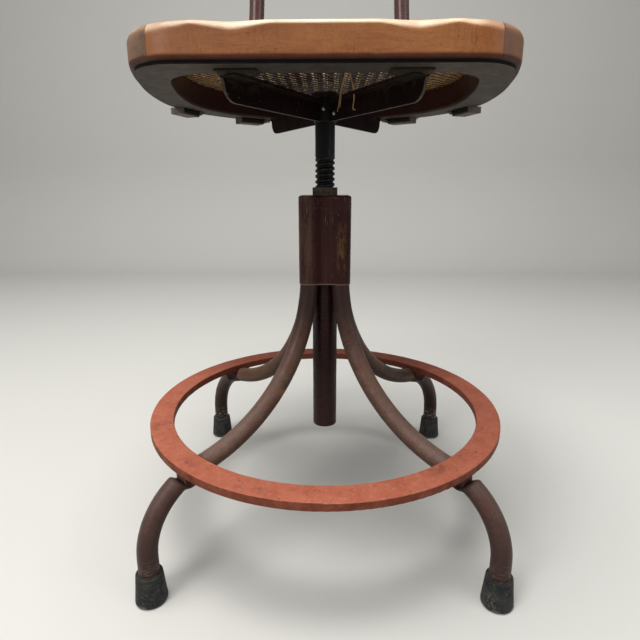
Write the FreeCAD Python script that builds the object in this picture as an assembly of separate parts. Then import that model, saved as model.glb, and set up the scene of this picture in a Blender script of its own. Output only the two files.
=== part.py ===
import FreeCAD, Part
import math
import os
from FreeCAD import Vector

# Operator chair: round steel base with a foot ring, screw-raised cane seat and a bent wood back.
# Millimetres. Origin on the floor under the spindle, +Z up, the sitter faces -Y.

# Base tubes
leg_d = 22.2
leg_wall = 1.6
post_d = 31.75
post_wall = 1.65
post_bottom_z = 119.5
nest_gap = 0.05
foot_radius = 265.6
leg_bend_rise = 15.4
leg_straight = 3.5
lower_bend_r = 82.3
lower_bend_end_z = 53.6

# Hub: a sleeve drawn over the post and the four legs, and drawn in between them
hub_bottom_z = 318.6
hub_height = 107.0
hub_wall = 1.6
hub_top_wall = 3.0
hub_edge_r = 3.0
hub_dip = 3.5

# Foot ring and the saddle block in each leg's crush: a lip under the ring, on a neck
ring_od = 457.2
ring_width = 28.6
ring_thickness = 10.0
ring_top_z = 151.0
ring_edge_r = 1.2
crush_height = 7.4
crush_half_width = 13.4
crush_lead = 6.5
saddle_length = 20.0
saddle_neck_width = 20.0
saddle_lip_width = 38.0
saddle_lip_length = 25.0
saddle_lip_thickness = 3.4
saddle_edge_r = 2.5

# Rubber foot cap with its steel washer
cap_height = 35.0
cap_bottom_d = 35.0
cap_top_d = 28.5
cap_sole = 6.0
cap_edge_r = 3.0
cap_lip_r = 1.0
washer_gap = 0.4
washer_thickness = 2.0
fit_gap = 0.05
edge_break = 1.0

# Spindle and its nut
spindle_d = 23.8
thread_pitch = 6.35
running_gap = 0.08
nut_flats = 30.2
nut_height = 9.4
nut_shank_length = 30.0
nut_chamfer = 1.2
turns_up = 17
stop_washer_thickness = 3.0
stop_play = 0.1
stop_gap = 0.3
tip_d = 12.0
tip_nut_flats = 19.0
tip_nut_height = 8.0
tip_proud = 3.0
spindle_chamfer = 1.6

# Seat ring plate and the plan outlines of plate and wood
plate_bottom_z = 531.5
plate_thickness = 2.5
plate_rear_r = 191.0
plate_front = 191.0
plate_side_r = 500.0
plate_corner_r = 45.0
opening_rear_r = 161.0
opening_front = 156.0
opening_side_r = 480.0
opening_corner_r = 50.0
wood_overhang = 4.5
wood_thickness = 29.0
wood_top_edge_r = 11.0
wood_bottom_edge_r = 5.0
front_edge_r = 5.0
thigh_x = 74.0
thigh_half_width = 32.0
thigh_edge_r = 10.5
front_corner_edge_r = 8.0

# Rail joints, dowels, cane and spline
front_joint_x = 143.0
rear_joint_x = 70.0
dowel_d = 8.0
dowel_length = 28.0
dowel_spacing = 12.0
front_dowel_inset = 6.0
rear_dowel_inset = 13.0
rabbet_width = 13.0
rabbet_depth = 3.0
cane_thickness = 1.6
cane_pitch = 20.0
cane_hole_d = 13.0
cane_edge = 9.0
spline_width = 5.0
spline_proud = 0.5

# Spider under the seat
boss_d = 28.0
boss_top_z = 541.5
boss_roof = 2.0
collar_d = 33.0
collar_height = 6.0
arm_depth = 22.5
arm_sheet = 3.0
arm_angle_deg = 30.0
front_arm_length = 182.0
rear_arm_length = 157.0
arm_flange = 17.0
arm_corner_r = 15.0
arm_end_lean = 4.0
foot_sheet = 1.5
foot_bevel = 0.9
foot_length = 38.0
front_foot_x = 94.0
front_foot_reach = 26.0
rear_foot_x = 76.0
rear_foot_reach = 39.0
foot_setback = 8.0
rivet_inset = 7.0
foot_corner_r = 5.0
rivet_d = 5.0
rivet_head_d = 9.0
rivet_head_height = 2.6
set_screw_d = 4.0
set_screw_head_d = 4.6
set_screw_angle_deg = -98.0
set_screw_rise = 13.6
web_screw_reach = 23.2
web_screw_rise = 7.7

# Offset clips under the seat's rear edge
clip_length = 50.0
clip_width = 18.0
clip_sheet = 2.0
clip_drop = 5.5
clip_foot = 10.0
clip_screw_spacing = 9.0
clip_screw_d = 4.0
screw_head_height = 1.8
screw_bite = 14.0
clip_places = (17.8, 4.5), (54.0, -3.0)

# Back uprights and the bent wood back
upright_d = 22.2
upright_wall = 1.6
upright_x = 106.0
upright_foot_x = 118.0
back_offset_x = 4.5
upright_y = 204.0
upright_knee_z = 715.0
upright_top_z = 858.0
upright_bend_r = 24.0
tongue_half_width = 16.0
tongue_thickness = 3.4
tongue_tip_y = 127.0
tongue_screw_y = 136.5
tongue_sections = 6
tongue_overlap = 4.0
back_width = 360.0
back_height = 140.0
back_thickness = 14.0
back_top_rise = 7.0
back_inner_r = 470.0
back_corner_r = 48.0
back_edge_r = 4.0
back_bolt_d = 6.0
back_bolt_spacing = 80.0
bolt_head_d = 16.0
bolt_head_height = 3.2
back_nut_flats = 10.0
back_nut_height = 5.0
plug_height = 4.0
plug_stem = 12.0

# Places that follow from the sizes above
leg_r = leg_d / 2
post_r = post_d / 2
spindle_r = spindle_d / 2
leg_rho = post_r + leg_r + nest_gap
leg_offset = leg_rho / math.sqrt(2)
hub_lobe_r = leg_r + nest_gap + hub_wall
hub_top_z = hub_bottom_z + hub_height
hub_ceiling_z = hub_top_z - hub_top_wall
ring_bottom_z = ring_top_z - ring_thickness
ring_inner_r = ring_od / 2 - ring_width
post_bore_r = post_r - post_wall
nut_bore_r = spindle_r + running_gap
nut_shank_r = post_bore_r - fit_gap
nut_shank_bottom_z = hub_top_z - nut_shank_length
stop_washer_top_z = nut_shank_bottom_z - turns_up * thread_pitch - edge_break
plate_top_z = plate_bottom_z + plate_thickness
wood_top_z = plate_top_z + wood_thickness
cane_bottom_z = wood_top_z - rabbet_depth
arm_top_z = plate_bottom_z
arm_bottom_z = arm_top_z - arm_depth
upright_r = upright_d / 2
back_bottom_z = upright_top_z + back_top_rise - back_height
out = {}


# Primitives
def cylinder(r, z0, z1, x=0, y=0):
    return Part.makeCylinder(r, z1 - z0, Vector(x, y, z0))


def block(x0, x1, y0, y1, z0, z1):
    return Part.makeBox(x1 - x0, y1 - y0, z1 - z0, Vector(x0, y0, z0))


def turned(profile):
    # A closed profile of (radius, z) points turned about the Z axis
    points = [Vector(r, 0, z) for r, z in profile]
    face = Part.Face(Part.makePolygon(points + points[:1]))
    return face.revolve(Vector(0, 0, 0), Vector(0, 0, 1), 360)


def domed_pin(pin_r, head_r, head_height, length):
    # A pin standing on the origin, its domed head below
    ball_r = (head_r**2 + head_height**2) / (2 * head_height)
    half = math.asin(min(1.0, head_r / ball_r)) / 2
    tip = Vector(0, 0, -head_height)
    rim = Vector(head_r, 0, 0)
    middle = Vector(ball_r * math.sin(half), 0, ball_r * (1 - math.cos(half)) - head_height)
    corners_3d = [rim, Vector(pin_r, 0, 0), Vector(pin_r, 0, length), Vector(0, 0, length), tip]
    wire = Part.Wire([arc3(tip, middle, rim)] + Part.makePolygon(corners_3d).Edges)
    return Part.Face(wire).revolve(Vector(0, 0, 0), Vector(0, 0, 1), 360)


def hexagon(flats, z0, z1, turn_deg=0, x=0, y=0):
    r = flats / math.sqrt(3)
    angles = [math.radians(turn_deg + 60 * k) for k in range(7)]
    points = [Vector(x + r * math.cos(a), y + r * math.sin(a), z0) for a in angles]
    return Part.Face(Part.makePolygon(points)).extrude(Vector(0, 0, z1 - z0))


def spun(shape, degrees):
    copy = shape.copy()
    copy.rotate(Vector(0, 0, 0), Vector(0, 0, 1), degrees)
    return copy


def moved(shape, x, y, z=0):
    copy = shape.copy()
    copy.translate(Vector(x, y, z))
    return copy


def aimed(shape, place, way):
    # Carries a piece drawn along Z to a place and turns it to point along way
    copy = shape.copy()
    copy.Placement = FreeCAD.Placement(place, FreeCAD.Rotation(Vector(0, 0, 1), way))
    return copy


def mirrored(shape):
    # The same piece on the other side of the chair
    return shape.mirror(Vector(0, 0, 0), Vector(1, 0, 0))


def arc3(a, b, c):
    return Part.Arc(a, b, c).toShape()


def edges_at(shape, z, test=lambda p: True):
    # The edges lying at one height, whose middle passes the test
    found = []
    for edge in shape.Edges:
        box = edge.BoundBox
        middle = edge.valueAt((edge.FirstParameter + edge.LastParameter) / 2)
        if abs(box.ZMin - z) < 0.001 and abs(box.ZMax - z) < 0.001 and test(middle):
            found.append(edge)
    return found


# Plan outlines: a half-round rear, bowed sides, round front corners and a straight front
def d_face(rear_r, front, side_r, corner_r, z):
    side_cx = rear_r - side_r
    corner_cy = corner_r - front
    corner_cx = side_cx + math.sqrt((side_r - corner_r) ** 2 - corner_cy**2)
    lean = math.atan2(corner_cy, corner_cx - side_cx)

    def on_side(a):
        return Vector(side_cx + side_r * math.cos(a), side_r * math.sin(a), z)

    def on_corner(a):
        return Vector(corner_cx + corner_r * math.cos(a), corner_cy + corner_r * math.sin(a), z)

    half = [
        arc3(on_side(0), on_side(lean / 2), on_side(lean)),
        arc3(on_corner(lean), on_corner((lean - math.pi / 2) / 2), on_corner(-math.pi / 2)),
    ]
    other = [edge.mirror(Vector(0, 0, 0), Vector(1, 0, 0)) for edge in half]
    front_edge = Part.makeLine(Vector(corner_cx, -front, z), Vector(-corner_cx, -front, z))
    rear_edge = arc3(Vector(rear_r, 0, z), Vector(0, rear_r, z), Vector(-rear_r, 0, z))
    return Part.Face(Part.Wire(Part.__sortEdges__(half + other + [front_edge, rear_edge])))


def plate_outline(grow, z):
    return d_face(plate_rear_r + grow, plate_front + grow, plate_side_r + grow, plate_corner_r + grow, z)


def opening_outline(grow, z):
    return d_face(
        opening_rear_r + grow, opening_front + grow, opening_side_r + grow, opening_corner_r + grow, z
    )


def up(height):
    return Vector(0, 0, height)


# Legs: the path lies in the XZ plane, then each leg is spun to its corner. The sweep and the upper
# bend follow from the foot's place and from the height where the bend starts inside the hub
upper_bend_z = hub_bottom_z + leg_bend_rise
leg_reach = foot_radius - leg_rho
leg_drop = upper_bend_z - lower_bend_end_z
sweep = 2 * math.atan(leg_reach / (leg_drop + leg_straight))
bends_r = (leg_reach - leg_straight * math.sin(sweep)) / (1 - math.cos(sweep))
upper_bend_r = bends_r - lower_bend_r
upper_end_x = leg_rho + upper_bend_r * (1 - math.cos(sweep))
lower_start_x = foot_radius - lower_bend_r * (1 - math.cos(sweep))
upper_end_z = upper_bend_z - upper_bend_r * math.sin(sweep)


def leg_angle(x):
    # How far the leg has turned from straight down, at a distance from the spindle's axis
    if x < upper_end_x:
        return math.acos(1 - max(0.0, x - leg_rho) / upper_bend_r)
    if x < lower_start_x:
        return sweep
    return math.acos(1 - max(0.0, foot_radius - x) / lower_bend_r)


def leg_point(x):
    a = leg_angle(x)
    if x < upper_end_x:
        return Vector(x, 0, upper_bend_z - upper_bend_r * math.sin(a))
    if x < lower_start_x:
        return Vector(x, 0, upper_end_z - (x - upper_end_x) / math.tan(sweep))
    return Vector(x, 0, lower_bend_end_z + lower_bend_r * math.sin(a))


def leg_way(x):
    a = leg_angle(x)
    return Vector(math.sin(a), 0, -math.cos(a))


def leg_run(x0, x1):
    # The edges of the leg's axis between two distances: bend, straight and bend
    edges = []
    for start, end in ((leg_rho, upper_end_x), (upper_end_x, lower_start_x), (lower_start_x, foot_radius)):
        a, b = max(x0, start), min(x1, end)
        if b > a and start == upper_end_x:
            edges.append(Part.makeLine(leg_point(a), leg_point(b)))
        elif b > a:
            edges.append(arc3(leg_point(a), leg_point((a + b) / 2), leg_point(b)))
    return edges


def pipe(edges, radius, start, direction):
    ring = Part.Wire(Part.makeCircle(radius, start, direction))
    return Part.Wire(edges).makePipeShell([ring], True, False)


def oval(centre, normal, across, wide, high):
    # An oval section square to normal, its wide half-axis lying along across
    across = (across - normal * across.dot(normal)).normalize()
    tall = across.cross(normal)
    if wide - high < 0.001:
        return Part.Wire(Part.Circle(centre, normal, high).toShape())
    return Part.Wire(Part.Ellipse(centre + across * wide, centre + tall * high, centre).toShape())


def leg_body(wall):
    # The leg's outside, or with a wall given, the space inside the tube
    tube_r = leg_r - wall
    crush_in = ring_inner_r - crush_lead
    crush_out = ring_inner_r + saddle_length + crush_lead
    top = Vector(leg_rho, 0, hub_ceiling_z - fit_gap)
    bottom = Vector(foot_radius, 0, cap_sole + washer_thickness)
    upper_path = [Part.makeLine(top, leg_point(leg_rho))] + leg_run(leg_rho, crush_in)
    upper = pipe(upper_path, tube_r, top, leg_way(leg_rho))
    lower_path = leg_run(crush_out, foot_radius) + [Part.makeLine(leg_point(foot_radius), bottom)]
    lower = pipe(lower_path, tube_r, leg_point(crush_out), leg_way(crush_out))
    flat = crush_height / 2
    sections = []
    for x, wide, high in (
        (crush_in, leg_r, leg_r),
        (ring_inner_r - crush_lead * 0.5, leg_r * 1.02, leg_r * 0.72),
        (ring_inner_r + saddle_length * 0.03, crush_half_width * 0.95, flat * 1.15),
        (ring_inner_r + saddle_length * 0.4, crush_half_width, flat),
        (ring_inner_r + saddle_length * 0.95, crush_half_width * 0.97, flat * 1.1),
        (ring_inner_r + saddle_length + crush_lead * 0.5, leg_r * 1.03, leg_r * 0.75),
        (crush_out, leg_r, leg_r),
    ):
        # The tube is pressed down from above, so its underside keeps its line
        way = leg_way(x)
        upward = Vector(-way.z, 0, way.x)
        centre = leg_point(x) - upward * (leg_r - high)
        sections.append(oval(centre, way, Vector(0, 1, 0), wide - wall, high - wall))
    crushed = Part.makeLoft(sections, True, False)
    return upper.fuse([crushed, lower])


def saddle_block(leg):
    # The neck fills the crush from the leg up to the ring, and the lip spreads under the ring
    outer_x = ring_inner_r + saddle_length
    low_z = leg_point(outer_x).z - leg_r
    half = saddle_neck_width / 2
    neck = block(ring_inner_r, outer_x, -half, half, low_z, ring_bottom_z).cut(leg)
    neck = max(neck.Solids, key=lambda s: s.CenterOfMass.z)
    half = saddle_lip_width / 2
    outer_x = ring_inner_r + saddle_lip_length
    lip = block(ring_inner_r, outer_x, -half, half, ring_bottom_z - saddle_lip_thickness, ring_bottom_z)
    corner_edges = [e for e in lip.Edges if e.BoundBox.ZLength > saddle_lip_thickness / 2]
    return lip.makeFillet(saddle_edge_r, corner_edges).fuse(neck).removeSplitter()


leg = leg_body(0)
saddle = saddle_block(leg)
leg = leg.cut(leg_body(leg_wall))
corners = {"front_right": -45, "rear_right": 45, "rear_left": 135, "front_left": 225}
for corner, turn in corners.items():
    out["leg_" + corner] = spun(leg, turn)
    out["ring_saddle_" + corner] = spun(saddle, turn)


# Foot ring
ring = cylinder(ring_od / 2, ring_bottom_z, ring_top_z)
ring = ring.cut(cylinder(ring_inner_r, ring_bottom_z, ring_top_z))
out["foot_ring"] = ring.makeFillet(ring_edge_r, edges_at(ring, ring_top_z) + edges_at(ring, ring_bottom_z))


# Foot caps and the steel washer in each
def foot_cap():
    outer = turned([(0, 0), (cap_bottom_d / 2, 0), (cap_top_d / 2, cap_height), (0, cap_height)])
    outer = outer.makeFillet(cap_edge_r, edges_at(outer, 0))
    outer = outer.makeFillet(cap_lip_r, edges_at(outer, cap_height))
    return outer.cut(cylinder(leg_r + fit_gap, cap_sole, cap_height))


def cap_washer():
    hole = cylinder(leg_r / 2, cap_sole, cap_sole + washer_thickness)
    return cylinder(leg_r - washer_gap, cap_sole, cap_sole + washer_thickness).cut(hole)


cap = moved(foot_cap(), foot_radius, 0)
washer = moved(cap_washer(), foot_radius, 0)
for corner, turn in corners.items():
    out["foot_cap_" + corner] = spun(cap, turn)
out["cap_washers"] = Part.makeCompound([spun(washer, turn) for turn in corners.values()])


# Post and hub sleeve
post = cylinder(post_r, post_bottom_z, hub_ceiling_z - fit_gap)
post = post.cut(cylinder(post_bore_r, post_bottom_z, hub_ceiling_z))
out["post_tube"] = post.makeFillet(0.7, edges_at(post, post_bottom_z))


def hub_section(grow):
    # A round lobe over each leg, joined by hollow arcs that touch the lobes smoothly
    narrow = hub_lobe_r - hub_dip
    dip_r = (leg_offset**2 - hub_lobe_r**2 + narrow**2) / (2 * hub_dip)
    between = hub_lobe_r + dip_r
    dip_centre_y = -leg_offset - math.sqrt(between**2 - leg_offset**2)
    lobe_r = hub_lobe_r + grow
    touch_x = leg_offset - lobe_r * leg_offset / between
    touch_y = -leg_offset + lobe_r * (dip_centre_y + leg_offset) / between
    middle = Vector(0, dip_centre_y + dip_r - grow, hub_bottom_z)
    left = Vector(-touch_x, touch_y, hub_bottom_z)
    right = Vector(touch_x, touch_y, hub_bottom_z)
    outmost = leg_offset + lobe_r / math.sqrt(2)
    corner = Vector(outmost, -outmost, hub_bottom_z)
    side = [arc3(left, middle, right), arc3(right, corner, Vector(-touch_y, -touch_x, hub_bottom_z))]
    edges = [spun(edge, 90 * quarter) for quarter in range(4) for edge in side]
    return Part.Face(Part.Wire(Part.__sortEdges__(edges)))


hub = hub_section(0).extrude(up(hub_height))
hub = hub.makeFillet(hub_edge_r, edges_at(hub, hub_top_z))
hollow = hub_section(-hub_wall).extrude(up(hub_height - hub_top_wall))
hub = hub.cut([hollow, cylinder(nut_shank_r + fit_gap, hub_ceiling_z, hub_top_z)])
leg_top = Vector(leg_rho, 0, hub_ceiling_z)
leg_line = [Part.makeLine(leg_top, leg_point(leg_rho))] + leg_run(leg_rho, leg_rho + leg_r)
leg_space = pipe(leg_line, leg_r + nest_gap, leg_top, leg_way(leg_rho))
out["hub_sleeve"] = hub.cut([spun(leg_space, turn) for turn in corners.values()])


# Spindle nut: hexagon over the hub, shank inside the post
def chamfered_hexagon(flats, z0, z1, chamfer, turn_deg=0):
    body = hexagon(flats, z0, z1, turn_deg)
    r = flats / math.sqrt(3)
    cone = turned([(0, z0), (r, z0), (r, z1 - chamfer), (r - chamfer * 1.7, z1), (0, z1)])
    return body.common(cone)


nut = chamfered_hexagon(nut_flats, hub_top_z, hub_top_z + nut_height, nut_chamfer, 30)
nut = nut.fuse(cylinder(nut_shank_r, nut_shank_bottom_z, hub_top_z))
out["spindle_nut"] = nut.cut(cylinder(nut_bore_r, nut_shank_bottom_z, hub_top_z + nut_height))


# Spindle: a turned bar with a reduced tip that carries the stop washer and its nut
stop_washer_bottom_z = stop_washer_top_z - stop_washer_thickness - 2 * stop_play
tip_bottom_z = stop_washer_bottom_z - tip_nut_height - tip_proud
spindle_top_z = boss_top_z - boss_roof
out["spindle"] = turned(
    [
        (0, tip_bottom_z),
        (tip_d / 2 - edge_break, tip_bottom_z),
        (tip_d / 2, tip_bottom_z + edge_break),
        (tip_d / 2, stop_washer_top_z),
        (spindle_r - spindle_chamfer, stop_washer_top_z),
        (spindle_r, stop_washer_top_z + spindle_chamfer),
        (spindle_r, spindle_top_z - edge_break),
        (spindle_r - edge_break, spindle_top_z),
        (0, spindle_top_z),
    ]
)
stop = cylinder(post_bore_r - stop_gap, stop_washer_bottom_z + stop_play, stop_washer_top_z - stop_play)
out["stop_washer"] = stop.cut(cylinder(tip_d / 2 + running_gap, stop_washer_bottom_z, stop_washer_top_z))
tip_nut = hexagon(tip_nut_flats, stop_washer_bottom_z - tip_nut_height, stop_washer_bottom_z)
out["spindle_tip_nut"] = tip_nut.cut(cylinder(tip_d / 2 + fit_gap, tip_bottom_z, stop_washer_bottom_z))


# Seat ring plate
def plate_ring():
    outer = plate_outline(0, plate_bottom_z).extrude(up(plate_thickness))
    return outer.cut(opening_outline(0, plate_bottom_z).extrude(up(plate_thickness)))


# Spider: a boss on the spindle and four pressed L-section arms riveted under the plate
def arm_web(length):
    # The upright web, drawn along +X, with its outer lower corner rounded
    r0, z0, z1 = 0, arm_bottom_z, arm_top_z
    lean_x = length - arm_end_lean
    corner = arm_corner_r
    middle = Vector(
        lean_x - corner + corner * math.cos(math.pi / 4), 0, z0 + corner - corner * math.sin(math.pi / 4)
    )
    edges = [
        Part.makeLine(Vector(r0, 0, z1), Vector(length, 0, z1)),
        Part.makeLine(Vector(length, 0, z1), Vector(lean_x, 0, z0 + corner)),
        arc3(Vector(lean_x, 0, z0 + corner), middle, Vector(lean_x - corner, 0, z0)),
        Part.makeLine(Vector(lean_x - corner, 0, z0), Vector(r0, 0, z0)),
        Part.makeLine(Vector(r0, 0, z0), Vector(r0, 0, z1)),
    ]
    web = Part.Face(Part.Wire(edges)).extrude(Vector(0, arm_sheet, 0))
    return moved(web, 0, -arm_sheet / 2)


def arm_flange_plate(length):
    # The top flange on the web's left, wide at the rim and narrow at the boss
    points = [(0, 0), (length, 0), (length, arm_flange), (length * 0.3, arm_flange * 0.6), (0, 4)]
    corners_3d = [Vector(x, y, arm_top_z - arm_sheet) for x, y in points]
    return Part.Face(Part.makePolygon(corners_3d + corners_3d[:1])).extrude(up(arm_sheet))


def arm_foot(x, y, reach):
    # The foot pad under the plate, with its outer edge at x, reaching from y towards the rim
    bottom_z = arm_top_z - foot_sheet
    pad = block(x - foot_length, x, min(y, y + reach), max(y, y + reach), bottom_z, arm_top_z)
    pad = pad.makeFillet(foot_corner_r, [e for e in pad.Edges if e.BoundBox.ZLength > 1])
    return pad.makeChamfer(foot_bevel, edges_at(pad, bottom_z))


def rivet(x, y):
    body = domed_pin(rivet_d / 2, rivet_head_d / 2, rivet_head_height, foot_sheet + plate_thickness)
    return moved(body, x, y, arm_top_z - foot_sheet)


def arm(length, side, foot_x, foot_reach):
    # The right-hand arm of a pair, side being +1 at the rear, and the places of its foot rivets
    body = arm_web(length).fuse(arm_flange_plate(length))
    if side < 0:
        body = body.mirror(Vector(0, 0, 0), Vector(0, 1, 0))
    body = spun(body, side * (90 - arm_angle_deg))
    foot_y = side * (length * math.cos(math.radians(arm_angle_deg)) - foot_setback)
    body = body.fuse(arm_foot(foot_x, foot_y, side * foot_reach))
    body = body.cut(cylinder(boss_d / 2, arm_bottom_z - 1, boss_top_z))
    rivet_y = foot_y + side * (foot_reach - rivet_inset)
    return body, [(foot_x - rivet_inset, rivet_y), (foot_x - foot_length + rivet_inset, rivet_y)]


plate = plate_ring()
rivets = []
for name, length, side, foot_x, foot_reach in (
    ("front", front_arm_length, -1, front_foot_x, front_foot_reach),
    ("rear", rear_arm_length, 1, rear_foot_x, rear_foot_reach),
):
    body, places = arm(length, side, foot_x, foot_reach)
    for x, y in places:
        hole = cylinder(rivet_d / 2 + fit_gap, arm_top_z - arm_sheet - 1, plate_top_z + 1, x, y)
        body = body.cut(hole)
        plate = plate.cut(hole).cut(mirrored(hole))
        rivets += [rivet(x, y), mirrored(rivet(x, y))]
    out["spider_arm_" + name + "_right"] = body
    out["spider_arm_" + name + "_left"] = mirrored(body)
out["spider_rivets"] = Part.makeCompound(rivets)

boss_r = boss_d / 2 - fit_gap
collar_z = boss_top_z - collar_height
boss = turned(
    [
        (0, arm_bottom_z),
        (boss_r - edge_break, arm_bottom_z),
        (boss_r, arm_bottom_z + edge_break),
        (boss_r, collar_z),
        (collar_d / 2, collar_z),
        (collar_d / 2, boss_top_z - 2 * edge_break),
        (collar_d / 2 - 2 * edge_break, boss_top_z),
        (0, boss_top_z),
    ]
)
boss = boss.cut(cylinder(spindle_r + fit_gap, arm_bottom_z, spindle_top_z + fit_gap))


def cross_pin(length, head_x, z, gap=0):
    # A small screw lying along X, its head at head_x facing outwards, or with a gap, the hole for it
    pin = domed_pin(set_screw_d / 2 + gap, set_screw_head_d / 2, set_screw_head_d / 2, length)
    pin.rotate(Vector(0, 0, 0), Vector(0, 1, 0), -90)
    return moved(pin, head_x, 0, z)


set_screw_z = arm_bottom_z + set_screw_rise
set_screw = cross_pin(boss_d / 2 - spindle_r - stop_gap, boss_d / 2, set_screw_z)
set_screw = spun(set_screw, set_screw_angle_deg)
set_hole = spun(cross_pin(boss_d / 2, boss_d / 2, set_screw_z, fit_gap), set_screw_angle_deg)
out["spider_boss"] = boss.cut(set_hole)

# The web screw faces the front, through the root of the front right arm
web_screw_z = arm_bottom_z + web_screw_rise
web_face = arm_angle_deg - 180
web_x = web_screw_reach * math.sin(math.radians(arm_angle_deg))
web_y = -web_screw_reach * math.cos(math.radians(arm_angle_deg))
web_screw = moved(spun(cross_pin(arm_sheet, arm_sheet / 2, web_screw_z), web_face), web_x, web_y)
web_hole = moved(spun(cross_pin(arm_sheet, arm_sheet / 2, web_screw_z, fit_gap), web_face), web_x, web_y)
out["spider_arm_front_right"] = out["spider_arm_front_right"].cut(web_hole)
out["boss_screws"] = Part.makeCompound([set_screw, web_screw])


# Offset clips: the front end and the outer side turned up to the plate, a bridge below it, and a
# sloped rear end that runs into a foot screwed up through the plate
def clip(centre_r):
    half = clip_length / 2
    z_top, z_low = plate_bottom_z, plate_bottom_z - clip_drop
    slope_y = half - clip_foot
    outline = [
        (-half, z_top),
        (-half + clip_sheet, z_top),
        (-half + clip_sheet, z_low),
        (slope_y - clip_drop, z_low),
        (slope_y, z_top),
        (half, z_top),
        (half, z_top - clip_sheet),
        (slope_y + clip_sheet / 2, z_top - clip_sheet),
        (slope_y + clip_sheet / 2 - clip_drop, z_low - clip_sheet),
        (-half, z_low - clip_sheet),
    ]
    profile = [Vector(centre_r - clip_width / 2, y, z) for y, z in outline]
    body = Part.Face(Part.makePolygon(profile + profile[:1])).extrude(Vector(clip_width, 0, 0))
    outer_x = centre_r + clip_width / 2
    flange_end = slope_y - clip_drop
    body = body.fuse(block(outer_x - clip_sheet, outer_x, -half, flange_end, z_low - clip_sheet, z_top))
    for x in clip_screw_x:
        body = body.cut(cylinder(clip_screw_d / 2 + fit_gap, z_low, z_top, centre_r + x, clip_screw_y))
    return body


def wood_screw(x, y, head_z):
    # A countersunk-length screw driven up from head_z into the wood
    shank = cylinder(clip_screw_d / 2, head_z, plate_top_z + screw_bite, x, y)
    head = cylinder(clip_screw_d * 0.8, head_z - screw_head_height, head_z, x, y)
    return shank.fuse(head)


def screw_hole(x, y):
    return cylinder(
        clip_screw_d / 2 + fit_gap, plate_bottom_z, plate_top_z + screw_bite + fit_gap, x, y
    )


clip_screw_x = (-clip_screw_spacing / 2, clip_screw_spacing / 2)
clip_screw_y = (clip_length - clip_foot + clip_sheet / 2) / 2
seat_screws, screw_holes = [], []
for place, (angle, proud) in zip(("outer", "inner"), clip_places):
    centre_r = plate_rear_r + proud - clip_width / 2
    right_clip = spun(clip(centre_r), angle)
    out["clip_" + place + "_right"] = right_clip
    out["clip_" + place + "_left"] = mirrored(right_clip)
    for x in clip_screw_x:
        right_screw = spun(wood_screw(centre_r + x, clip_screw_y, plate_bottom_z - clip_sheet), angle)
        right_hole = spun(screw_hole(centre_r + x, clip_screw_y), angle)
        seat_screws += [right_screw, mirrored(right_screw)]
        screw_holes += [right_hole, mirrored(right_hole)]
for x in (-upright_foot_x, upright_foot_x):
    seat_screws.append(wood_screw(x + back_offset_x, tongue_screw_y, plate_bottom_z))
    screw_holes.append(screw_hole(x + back_offset_x, tongue_screw_y))
out["seat_screws"] = Part.makeCompound(seat_screws)
out["seat_ring"] = plate.cut(screw_holes)


# Wood frame: a ring with rounded edges, then cut into four rails at the joints. The front rail is cut
# from a ring with a square top edge, which is then rounded by itself
def wood_ring(rounded):
    outer = plate_outline(wood_overhang, plate_top_z).extrude(up(wood_thickness))
    if rounded:
        outer = outer.makeFillet(wood_top_edge_r, edges_at(outer, wood_top_z))
    outer = outer.makeFillet(wood_bottom_edge_r, edges_at(outer, plate_top_z))
    ring_body = outer.cut(opening_outline(0, plate_top_z).extrude(up(wood_thickness)))
    return ring_body.cut(opening_outline(rabbet_width, cane_bottom_z).extrude(up(rabbet_depth)))


def ease_front(rail):
    # Rounds the right half's top edge, most where the thighs lie and at the corner, and mirrors it
    straight = [e for e in edges_at(rail, wood_top_z) if e.BoundBox.YLength < 0.001]
    corner_x = max(edge.BoundBox.XMax for edge in straight)
    stations = [
        (0, front_edge_r),
        (thigh_x - thigh_half_width, front_edge_r),
        (thigh_x, thigh_edge_r),
        (thigh_x + thigh_half_width, front_edge_r),
        (corner_x, front_corner_edge_r),
        (front_joint_x, wood_top_edge_r),
    ]
    half = []
    for (x0, r0), (x1, r1) in zip(stations, stations[1:]):
        slab = rail.common(block(x0, x1, -front_end, 0, plate_top_z, wood_top_z))
        edge = min(edges_at(slab, wood_top_z), key=lambda e: e.CenterOfMass.y)
        runs_out = edge.valueAt(edge.FirstParameter).x < edge.valueAt(edge.LastParameter).x
        radii = (r0, r1) if runs_out else (r1, r0)
        half.append(slab.makeFillet(*radii, [edge]))
    return half[0].fuse(half[1:] + [mirrored(slab) for slab in half]).removeSplitter()


def dowel(x, y):
    body = Part.makeCylinder(
        dowel_d / 2, dowel_length, Vector(x - dowel_length / 2, y, plate_top_z + wood_thickness * 0.45),
        Vector(1, 0, 0),
    )
    return body.makeChamfer(0.8, [e for e in body.Edges if e.BoundBox.XLength < 0.001])


front_y = -opening_front - front_dowel_inset
rear_y = math.sqrt(opening_rear_r**2 - rear_joint_x**2) + rear_dowel_inset
front_dowel_y = [front_y, front_y - dowel_spacing]
rear_dowel_y = [rear_y, rear_y + dowel_spacing]
right_dowels = [dowel(front_joint_x, y) for y in front_dowel_y]
right_dowels += [dowel(rear_joint_x, y) for y in rear_dowel_y]
dowels = right_dowels + [mirrored(d) for d in right_dowels]
out["rail_dowels"] = Part.makeCompound(dowels)


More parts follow.
